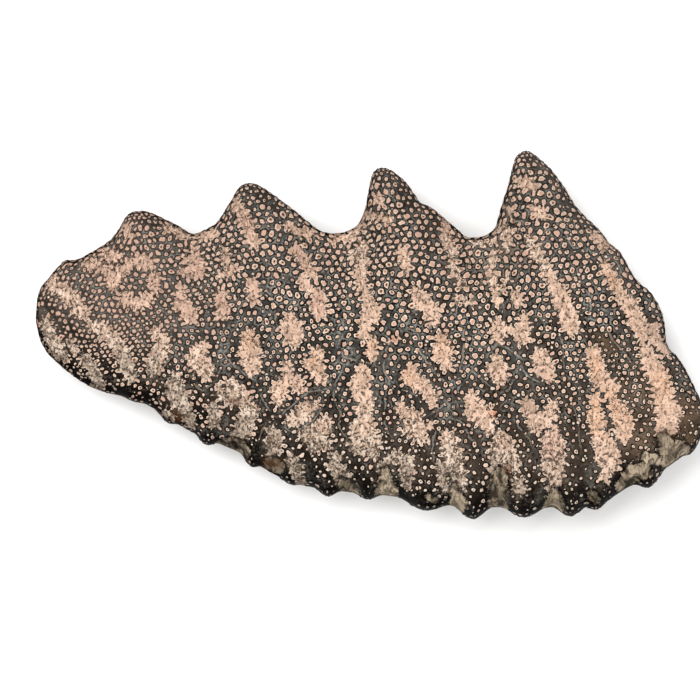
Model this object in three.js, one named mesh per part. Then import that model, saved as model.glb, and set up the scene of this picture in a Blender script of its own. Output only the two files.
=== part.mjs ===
// A fossil lungfish tooth plate: one piece of mineralised tooth, lying on its attachment side.
// Millimetres. +X runs from the back end to the front corner, +Y towards the cusped edge, +Z is up, out of the
// grinding face. The plate rests on z = 0, and the origin is under the middle of its outline.
import * as THREE from "three";

// Driving dimensions

const RIM_BACK = 3.0; // height of the rim, where the plate is widest, at the back end
const RIM_FRONT = 4.3; // and at the front corner
const CROWN_BACK = 1.3; // how far the grinding face stands above the rim at the back end
const CROWN_FRONT = 2.3; // and at the front corner
const CROWN_ROLL = 2.4; // width over which the face rounds over to the rim
const DOME_RISE = 0.7; // slow swell of the face towards its middle
const DOME_WIDTH = 5.0; // distance from the edge at which most of that swell is reached
const BASE_INSET = 2.3; // how far the flat underside lies inside the rim
const EDGE_BOW = 2.0; // 2 gives round, elliptical edges
const RIDGE_SPREAD = 0.1; // growth of a ridge's half width with each millimetre from its tip
const RIDGE_FULL = 0.15; // the share of a ridge's length over which it keeps its whole rise
const FOLD_RISE = 0.9; // height of a fold's crest at the folded edge
const FOLD_FULL = 0.1; // the share of a fold's length over which it keeps that height
const FOLD_CREST = 0.6; // half width of a fold's crest, as a share of the half width of its swelling

// How finely the surface is divided

const CURVE_STEPS = 30; // between two outline points
const OUTLINE_STOPS = 1000; // even steps along the length at which the outline is measured
const SECTIONS = 118; // upright sections along the length
const TOP_STEPS = 22; // across the grinding face
const BASE_STEPS = 14; // across the underside
const STEEPNESS_WEIGHT = 0.55; // how strongly sections gather where the outline runs across the plate

// The cusped edge, from the back end over a small knob and four cusps down to the front corner.
const CUSPED_EDGE = [
  [-24.0, 1.2], [-23.8, 2.9], [-23.1, 4.0], [-22.2, 5.0], [-21.8, 5.3], [-21.1, 5.3], [-20.1, 5.8],
  [-18.8, 6.6], [-18.1, 7.4], [-17.8, 8.0], [-17.3, 8.6], [-16.6, 8.8], [-15.8, 8.7], [-13.9, 7.8],
  [-12.8, 7.2], [-12.0, 7.4], [-11.0, 8.0], [-10.2, 9.2], [-9.5, 10.4], [-8.8, 10.8], [-7.9, 10.6],
  [-6.3, 9.5], [-4.8, 8.3], [-3.6, 7.4], [-2.4, 7.2], [-1.4, 7.5], [-0.8, 8.0], [-0.3, 9.3],
  [0.0, 10.9], [0.3, 11.7], [0.9, 11.9], [1.5, 11.7], [2.4, 11.0], [3.2, 9.9], [3.6, 9.4],
  [4.4, 9.0], [5.5, 8.1], [6.2, 7.5], [6.8, 7.0], [7.6, 6.9], [8.4, 7.1], [9.0, 7.8],
  [9.4, 9.2], [9.8, 10.4], [10.1, 11.6], [10.4, 12.6], [10.8, 13.0], [11.3, 13.1], [11.9, 12.7],
  [12.8, 11.9], [13.8, 10.6], [14.8, 9.0], [16.4, 7.4], [17.1, 6.5], [17.9, 5.8], [18.5, 4.7],
  [19.1, 3.8], [20.0, 3.0], [20.6, 2.1], [21.0, 1.0], [21.1, -0.3], [21.4, -1.1], [22.1, -1.8],
  [22.8, -3.0], [23.4, -4.3], [23.9, -5.3], [24.0, -6.2],
];

// The folded edge, from the back end to the front corner, without the swellings at the ends of its folds.
const FOLDED_EDGE = [
  [-24.0, 1.2], [-23.7, -0.4], [-23.0, -1.5], [-21.8, -2.6], [-20.2, -3.7], [-18.9, -4.2], [-16.8, -4.7],
  [-15.1, -5.6], [-13.2, -6.8], [-10.5, -8.0], [-9.2, -8.6], [-7.0, -10.0], [-5.0, -10.8], [-1.8, -11.3],
  [1.4, -11.6], [5.0, -12.2], [9.0, -12.4], [13.1, -12.4], [16.4, -12.1], [18.4, -11.0], [20.3, -10.1],
  [21.6, -9.3], [22.9, -8.3], [23.6, -7.5], [24.0, -6.2],
];

// Folds that run from the folded edge into the face: where each meets the edge, how far it swells the outline, its
// half width, the lean of its crest towards the back end in degrees, and how far it runs in.
const FOLDS = [
  { at: -17.0, swell: 0.2, half: 1.0, lean: 40, reach: 4.0 },
  { at: -14.6, swell: 0.4, half: 0.9, lean: 38, reach: 4.5 },
  { at: -11.8, swell: 0.5, half: 0.9, lean: 12, reach: 4.5 },
  { at: -8.6, swell: 0.5, half: 0.8, lean: 10, reach: 4.5 },
  { at: -5.8, swell: 0.2, half: 0.9, lean: 0, reach: 3.5 },
  { at: -3.1, swell: 0.5, half: 1.0, lean: 32, reach: 6.0 },
  { at: -0.2, swell: 0.4, half: 1.1, lean: 26, reach: 6.5 },
  { at: 3.8, swell: 0.6, half: 1.9, lean: 8, reach: 6.0 },
  { at: 7.3, swell: 0.9, half: 1.5, lean: 14, reach: 7.0 },
  { at: 11.0, swell: 0.7, half: 1.7, lean: 16, reach: 7.0 },
  { at: 14.3, swell: 0.7, half: 1.3, lean: 2, reach: 7.5 },
  { at: 16.2, swell: 0.4, half: 1.0, lean: -20, reach: 4.0 },
  { at: 20.0, swell: 0.7, half: 1.2, lean: -4, reach: 5.0 },
  { at: 23.0, swell: 0.3, half: 0.7, lean: 30, reach: 4.0 },
];

// Ridges that run from the cusps into the face: tip, heel, half width at the tip and rise.
const RIDGES = [
  { tip: [-21.4, 4.6], heel: [-14.5, -3.0], half: 1.0, rise: 0.4 },
  { tip: [-16.4, 8.0], heel: [-9.0, -3.5], half: 1.4, rise: 0.8 },
  { tip: [-8.6, 9.8], heel: [-1.0, -4.5], half: 1.5, rise: 1.1 },
  { tip: [0.9, 10.9], heel: [7.5, -5.0], half: 1.5, rise: 1.4 },
  { tip: [11.1, 12.1], heel: [17.0, -6.0], half: 1.7, rise: 1.7 },
];

// Valleys that run in from the notches between the cusps: mouth, head, half width and depth.
const VALLEYS = [
  { mouth: [-19.6, 6.0], head: [-16.0, 1.5], half: 1.0, depth: 0.4 },
  { mouth: [-12.8, 7.2], head: [-9.3, 0.5], half: 1.5, depth: 0.9 },
  { mouth: [-2.9, 7.2], head: [0.5, -1.0], half: 1.9, depth: 1.2 },
  { mouth: [7.4, 6.9], head: [10.4, -1.5], half: 1.9, depth: 1.4 },
];

// The outline

// A smooth curve through the points, as a polyline whose x never falls.
function edgeCurve(points) {
  const curve = new THREE.SplineCurve(points.map(([x, y]) => new THREE.Vector2(x, y)));
  const line = curve.getPoints(CURVE_STEPS * (points.length - 1));
  for (let i = 1; i < line.length; i++) line[i].x = Math.max(line[i].x, line[i - 1].x);
  return line;
}

// How far the folds' ends swell the folded edge at x.
function swellAt(x) {
  return FOLDS.reduce((sum, fold) => {
    const q = Math.min(1, Math.abs(x - fold.at) / fold.half);
    return sum + fold.swell * (1 - q * q) ** 2;
  }, 0);
}

const cuspedLine = edgeCurve(CUSPED_EDGE);
const foldedLine = edgeCurve(FOLDED_EDGE);
for (const point of foldedLine) point.y -= swellAt(point.x);
const outline = [...cuspedLine, ...foldedLine.slice(0, -1).reverse()];

// The line's y at x.
function yOn(line, x) {
  let i = 1;
  while (i < line.length - 1 && line[i].x < x) i++;
  const [a, b] = [line[i - 1], line[i]];
  const share = b.x > a.x ? (x - a.x) / (b.x - a.x) : 0;
  return THREE.MathUtils.lerp(a.y, b.y, THREE.MathUtils.clamp(share, 0, 1));
}

// The distance from (x, y) to the outline.
function edgeDistance(x, y) {
  let least = Infinity;
  for (let i = 0; i < outline.length; i++) {
    const a = outline[i];
    const b = outline[(i + 1) % outline.length];
    const [dx, dy] = [b.x - a.x, b.y - a.y];
    const size = dx * dx + dy * dy;
    const along = size > 0 ? THREE.MathUtils.clamp(((x - a.x) * dx + (y - a.y) * dy) / size, 0, 1) : 0;
    least = Math.min(least, Math.hypot(x - a.x - along * dx, y - a.y - along * dy));
  }
  return least;
}

// The heights

const frontShare = (x) => THREE.MathUtils.smoothstep(x, CUSPED_EDGE[0][0], CUSPED_EDGE.at(-1)[0]);
const rimHeight = (x) => THREE.MathUtils.lerp(RIM_BACK, RIM_FRONT, frontShare(x));
const crownRise = (x) => THREE.MathUtils.lerp(CROWN_BACK, CROWN_FRONT, frontShare(x));

// A quarter of an ellipse, from 0 at an edge up to 1 at the given width inside it.
function roundOver(distance, width) {
  const left = 1 - Math.min(1, distance / width);
  return (1 - left ** EDGE_BOW) ** (1 / EDGE_BOW);
}

// Where (x, y) is along the line from one point to another, as a share, and how far it is to the side.
function besideLine([ax, ay], [bx, by], x, y) {
  const [dx, dy] = [bx - ax, by - ay];
  const length = Math.hypot(dx, dy);
  const along = ((x - ax) * dx + (y - ay) * dy) / length;
  const aside = ((x - ax) * dy - (y - ay) * dx) / length;
  return { share: along / length, along, aside };
}

// The relief of the ridges, valleys and folds at (x, y), which fades out at the rim.
function relief(x, y) {
  let sum = 0;
  for (const ridge of RIDGES) {
    const { share, along, aside } = besideLine(ridge.tip, ridge.heel, x, y);
    const half = ridge.half + RIDGE_SPREAD * Math.max(0, along);
    const fade = 1 - THREE.MathUtils.smoothstep(share, RIDGE_FULL, 1);
    sum += ridge.rise * fade * Math.exp(-((aside / half) ** 2));
  }
  for (const valley of VALLEYS) {
    const { share, aside } = besideLine(valley.mouth, valley.head, x, y);
    const fade = 1 - THREE.MathUtils.smoothstep(share, 0, 1);
    sum -= valley.depth * fade * Math.exp(-((aside / valley.half) ** 2));
  }
  for (const fold of FOLDS) {
    const foot = [fold.at, yOn(foldedLine, fold.at)];
    const lean = THREE.MathUtils.degToRad(fold.lean);
    const head = [foot[0] - fold.reach * Math.sin(lean), foot[1] + fold.reach * Math.cos(lean)];
    const { share, aside } = besideLine(foot, head, x, y);
    const fade = 1 - THREE.MathUtils.smoothstep(share, FOLD_FULL, 1);
    sum += FOLD_RISE * fade * Math.exp(-((aside / (FOLD_CREST * fold.half)) ** 2));
  }
  return sum;
}

function topHeight(x, y) {
  const distance = edgeDistance(x, y);
  const roll = roundOver(distance, CROWN_ROLL);
  const dome = DOME_RISE * (1 - Math.exp(-distance / DOME_WIDTH));
  return rimHeight(x) + crownRise(x) * roll + dome + relief(x, y) * roll;
}

function baseHeight(x, y) {
  return rimHeight(x) * (1 - roundOver(edgeDistance(x, y), BASE_INSET));
}

// The surface: upright sections along the length, each a closed loop over the face and back underneath

// Section places, gathered where the outline runs across the plate, as it does at the cusps and the round ends.
function sectionPlaces() {
  const stops = outlineStops();
  const weight = [0];
  for (let i = 1; i < stops.length; i++) {
    const run = stops[i] - stops[i - 1];
    const climb = Math.abs(yOn(cuspedLine, stops[i]) - yOn(cuspedLine, stops[i - 1]));
    const fall = Math.abs(yOn(foldedLine, stops[i]) - yOn(foldedLine, stops[i - 1]));
    weight.push(weight[i - 1] + Math.hypot(run, STEEPNESS_WEIGHT * climb, STEEPNESS_WEIGHT * fall));
  }
  const places = [];
  for (let s = 1; s < SECTIONS; s++) {
    const target = (s / SECTIONS) * weight.at(-1);
    const i = Math.max(1, weight.findIndex((w) => w >= target));
    const share = (target - weight[i - 1]) / (weight[i] - weight[i - 1]);
    places.push(THREE.MathUtils.lerp(stops[i - 1], stops[i], share));
  }
  return places;
}

// Fine, even steps along the length.
function outlineStops() {
  const [back, front] = [CUSPED_EDGE[0][0], CUSPED_EDGE.at(-1)[0]];
  const stops = [];
  for (let s = 0; s <= OUTLINE_STOPS; s++) {
    stops.push(THREE.MathUtils.lerp(back, front, s / OUTLINE_STOPS));
  }
  return stops;
}

// Steps from 0 to 1, gathered at both ends, where the surface turns over the rim.
const gathered = (i, count) => (1 - Math.cos((Math.PI * i) / count)) / 2;

function plateGeometry() {
  const places = sectionPlaces();
  const loop = TOP_STEPS + BASE_STEPS;
  const [back, front] = [CUSPED_EDGE[0], CUSPED_EDGE.at(-1)];
  const positions = [];
  for (const x of places) {
    const [low, high] = [yOn(foldedLine, x), yOn(cuspedLine, x)];
    for (let i = 0; i < TOP_STEPS; i++) {
      const y = THREE.MathUtils.lerp(low, high, gathered(i, TOP_STEPS));
      positions.push(x, y, topHeight(x, y));
    }
    for (let i = 0; i < BASE_STEPS; i++) {
      const y = THREE.MathUtils.lerp(high, low, gathered(i, BASE_STEPS));
      positions.push(x, y, i === 0 ? rimHeight(x) : baseHeight(x, y));
    }
  }
  const backPole = places.length * loop;
  const frontPole = backPole + 1;
  positions.push(...back, rimHeight(back[0]), ...front, rimHeight(front[0]));

  const index = [];
  for (let i = 0; i < loop; i++) {
    const next = (i + 1) % loop;
    index.push(backPole, i, next);
    for (let s = 0; s < places.length - 1; s++) {
      const [a, b] = [s * loop + i, s * loop + next];
      index.push(a, b + loop, b, a, a + loop, b + loop);
    }
    const last = (places.length - 1) * loop;
    index.push(frontPole, last + next, last + i);
  }
  const geometry = new THREE.BufferGeometry();
  geometry.setAttribute("position", new THREE.Float32BufferAttribute(positions, 3));
  geometry.setIndex(index);
  geometry.computeBoundingBox();
  const centre = geometry.boundingBox.getCenter(new THREE.Vector3());
  geometry.translate(-centre.x, -centre.y, -geometry.boundingBox.min.z);
  geometry.computeVertexNormals();
  return geometry;
}

const mineral = new THREE.MeshStandardMaterial({ color: 0x7d6c60, roughness: 0.45, metalness: 0 });

const toothPlate = new THREE.Mesh(plateGeometry(), mineral);
toothPlate.name = "tooth_plate";

const fossil = new THREE.Group();
fossil.add(toothPlate);

export default fossil;
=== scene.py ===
import math
from types import SimpleNamespace

import bpy
import numpy as np
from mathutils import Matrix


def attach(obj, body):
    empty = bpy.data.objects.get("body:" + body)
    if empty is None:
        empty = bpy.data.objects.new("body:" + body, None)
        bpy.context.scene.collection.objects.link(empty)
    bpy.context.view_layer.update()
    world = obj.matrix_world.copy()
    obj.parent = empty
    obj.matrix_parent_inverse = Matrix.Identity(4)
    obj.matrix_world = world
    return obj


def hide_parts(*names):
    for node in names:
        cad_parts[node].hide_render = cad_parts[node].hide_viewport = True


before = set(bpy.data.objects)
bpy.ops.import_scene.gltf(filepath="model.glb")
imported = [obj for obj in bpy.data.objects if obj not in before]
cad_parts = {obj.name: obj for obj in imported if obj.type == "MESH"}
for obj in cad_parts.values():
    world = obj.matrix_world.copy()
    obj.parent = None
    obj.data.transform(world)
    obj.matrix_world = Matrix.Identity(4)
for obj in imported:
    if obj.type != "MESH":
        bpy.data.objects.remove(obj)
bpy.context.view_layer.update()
mm = 0.001               # shapes are worked out in millimetres and scaled by this when they become meshes
print("frame loaded")

# the view: straight down on the face through a long lens, so the outline keeps its true shape
cameraView = {
    "aimX": -1.47,
    "aimY": -1.0,
    "faceHeight": 5.0,
    "distance": 900.0,
    "frameWidth": 50.07,
    "sensor": 36.0,
}


def makeCamera(view):
    # lens / sensor = distance to the face / width of face taken in
    data = bpy.data.cameras.new("plateCamera")
    data.sensor_width = view["sensor"]
    data.lens = view["sensor"] * view["distance"] / view["frameWidth"]
    data.clip_start = 0.01
    data.clip_end = 10.0
    camera = bpy.data.objects.new("plateCamera", data)
    camera.location = (view["aimX"] * mm, view["aimY"] * mm, (view["faceHeight"] + view["distance"]) * mm)
    bpy.context.scene.collection.objects.link(camera)
    bpy.context.scene.camera = camera


makeCamera(cameraView)
print("camera placed")

# the plate's outline and heights, as in the frame
plateShape = {
    "rimBack": 3.0, "rimFront": 4.3,          # height of the rim above the floor, at the two ends
    "crownBack": 1.3, "crownFront": 2.3,      # rise of the face above the rim
    "rollWidth": 2.4,                         # how far in the face rolls over
    "domeRise": 0.7, "domeWidth": 5.0,
    "baseInset": 2.3,                         # how far the underside is tucked in
    "ridgeSpread": 0.1,                       # how much a ridge widens for each mm
    "ridgeHold": 0.15,                        # the share of its length over which a ridge keeps its full rise
    "foldRise": 0.9, "foldHold": 0.1,
    "foldCrest": 0.6,                         # a fold's crest, as a share of its half width
}

# the cusped edge from the back end to the front corner
cuspedEdge = [
    (-24.0, 1.2), (-23.8, 2.9), (-23.1, 4.0), (-22.2, 5.0), (-21.8, 5.3), (-21.1, 5.3), (-20.1, 5.8),
    (-18.8, 6.6), (-18.1, 7.4), (-17.8, 8.0), (-17.3, 8.6), (-16.6, 8.8), (-15.8, 8.7), (-13.9, 7.8),
    (-12.8, 7.2), (-12.0, 7.4), (-11.0, 8.0), (-10.2, 9.2), (-9.5, 10.4), (-8.8, 10.8), (-7.9, 10.6),
    (-6.3, 9.5), (-4.8, 8.3), (-3.6, 7.4), (-2.4, 7.2), (-1.4, 7.5), (-0.8, 8.0), (-0.3, 9.3), (0.0, 10.9),
    (0.3, 11.7), (0.9, 11.9), (1.5, 11.7), (2.4, 11.0), (3.2, 9.9), (3.6, 9.4), (4.4, 9.0), (5.5, 8.1),
    (6.2, 7.5), (6.8, 7.0), (7.6, 6.9), (8.4, 7.1), (9.0, 7.8), (9.4, 9.2), (9.8, 10.4), (10.1, 11.6),
    (10.4, 12.6), (10.8, 13.0), (11.3, 13.1), (11.9, 12.7), (12.8, 11.9), (13.8, 10.6), (14.8, 9.0),
    (16.4, 7.4), (17.1, 6.5), (17.9, 5.8), (18.5, 4.7), (19.1, 3.8), (20.0, 3.0), (20.6, 2.1), (21.0, 1.0),
    (21.1, -0.3), (21.4, -1.1), (22.1, -1.8), (22.8, -3.0), (23.4, -4.3), (23.9, -5.3), (24.0, -6.2),
]

# the folded edge, without the swellings at the ends of its folds
foldedEdge = [
    (-24.0, 1.2), (-23.7, -0.4), (-23.0, -1.5), (-21.8, -2.6), (-20.2, -3.7), (-18.9, -4.2), (-16.8, -4.7),
    (-15.1, -5.6), (-13.2, -6.8), (-10.5, -8.0), (-9.2, -8.6), (-7.0, -10.0), (-5.0, -10.8), (-1.8, -11.3),
    (1.4, -11.6), (5.0, -12.2), (9.0, -12.4), (13.1, -12.4), (16.4, -12.1), (18.4, -11.0), (20.3, -10.1),
    (21.6, -9.3), (22.9, -8.3), (23.6, -7.5), (24.0, -6.2),
]

# folds that run in from the folded edge: where, swelling of the outline, half width, lean back in degrees
# and reach
folds = [
    (-17.0, 0.2, 1.0, 40, 4.0), (-14.6, 0.4, 0.9, 38, 4.5), (-11.8, 0.5, 0.9, 12, 4.5),
    (-8.6, 0.5, 0.8, 10, 4.5), (-5.8, 0.2, 0.9, 0, 3.5), (-3.1, 0.5, 1.0, 32, 6.0), (-0.2, 0.4, 1.1, 26, 6.5),
    (3.8, 0.6, 1.9, 8, 6.0), (7.3, 0.9, 1.5, 14, 7.0), (11.0, 0.7, 1.7, 16, 7.0), (14.3, 0.7, 1.3, 2, 7.5),
    (16.2, 0.4, 1.0, -20, 4.0), (20.0, 0.7, 1.2, -4, 5.0), (23.0, 0.3, 0.7, 30, 4.0),
]

# ridges that run from the cusps into the face: tip, heel, half width at the tip, rise
ridges = [
    ((-21.4, 4.6), (-14.5, -3.0), 1.0, 0.4), ((-16.4, 8.0), (-9.0, -3.5), 1.4, 0.8),
    ((-8.6, 9.8), (-1.0, -4.5), 1.5, 1.1), ((0.9, 10.9), (7.5, -5.0), 1.5, 1.4),
    ((11.1, 12.1), (17.0, -6.0), 1.7, 1.7),
]

# valleys that run in from the notches: mouth, head, half width, depth
valleys = [
    ((-19.6, 6.0), (-16.0, 1.5), 1.0, 0.4), ((-12.8, 7.2), (-9.3, 0.5), 1.5, 0.9),
    ((-2.9, 7.2), (0.5, -1.0), 1.9, 1.2), ((7.4, 6.9), (10.4, -1.5), 1.9, 1.4),
]


def smoothEdge(points, steps=12):
    # a cubic for each stretch, which leaves every point along the chord of its two neighbours
    spots = np.array(points)
    before = np.vstack([spots[:1], spots[:-2]])[:, None]
    start = spots[:-1, None]
    end = spots[1:, None]
    after = np.vstack([spots[2:], spots[-1:]])[:, None]
    share = (np.arange(steps) / steps)[None, :, None]
    leave = (end - before) / 2
    arrive = (after - start) / 2
    cubic = 2 * start - 2 * end + leave + arrive
    square = -3 * start + 3 * end - 2 * leave - arrive
    line = ((cubic * share + square) * share + leave) * share + start
    line = np.vstack([line.reshape(-1, 2), spots[-1:]])
    line[:, 0] = np.maximum.accumulate(line[:, 0])
    return line


def swellAt(x):
    # each fold pushes the edge out by swell * (1 - q squared) squared, q being the share of its half width
    total = np.zeros_like(x)
    for at, swell, half, lean, reach in folds:
        q = np.clip(np.abs(x - at) / half, 0, 1)
        total += swell * (1 - q * q) ** 2
    return total


def smoothStep(value, low, high):
    # 3 q squared - 2 q cubed, q being how far the value is from low to high
    q = np.clip((value - low) / (high - low), 0, 1)
    return q * q * (3 - 2 * q)


cuspedLine = smoothEdge(cuspedEdge)
foldedLine = smoothEdge(foldedEdge)
foldedLine[:, 1] -= swellAt(foldedLine[:, 0])
outline = np.vstack([cuspedLine, foldedLine[-2:0:-1]])
middle = (outline.min(0) + outline.max(0)) / 2


def beside(start, end, x, y):
    # the share along the line from start to end, the distance along it and the distance to its side
    dx, dy = end[0] - start[0], end[1] - start[1]
    length = math.hypot(dx, dy)
    along = ((x - start[0]) * dx + (y - start[1]) * dy) / length
    aside = ((x - start[0]) * dy - (y - start[1]) * dx) / length
    return along / length, along, aside


def roundOver(distance, width):
    # a quarter of an ellipse, from 0 at the edge up to 1 at the width
    left = 1 - np.clip(distance / width, 0, 1)
    return np.sqrt(1 - left * left)


def reliefAt(x, y):
    # ridges, valleys and folds are each exp(-(aside / half) squared), and fade along their length
    total = np.zeros_like(x)
    for tip, heel, half, rise in ridges:
        share, along, aside = beside(tip, heel, x, y)
        wide = half + plateShape["ridgeSpread"] * np.maximum(0, along)
        total += rise * (1 - smoothStep(share, plateShape["ridgeHold"], 1)) * np.exp(-(aside / wide) ** 2)
    for mouth, head, half, depth in valleys:
        share, along, aside = beside(mouth, head, x, y)
        total -= depth * (1 - smoothStep(share, 0, 1)) * np.exp(-(aside / half) ** 2)
    for at, swell, half, lean, reach in folds:
        foot = (at, np.interp(at, foldedLine[:, 0], foldedLine[:, 1]))
        turn = math.radians(lean)
        head = (foot[0] - reach * math.sin(turn), foot[1] + reach * math.cos(turn))
        share, along, aside = beside(foot, head, x, y)
        crest = np.exp(-(aside / (plateShape["foldCrest"] * half)) ** 2)
        total += plateShape["foldRise"] * (1 - smoothStep(share, plateShape["foldHold"], 1)) * crest
    return total


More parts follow.
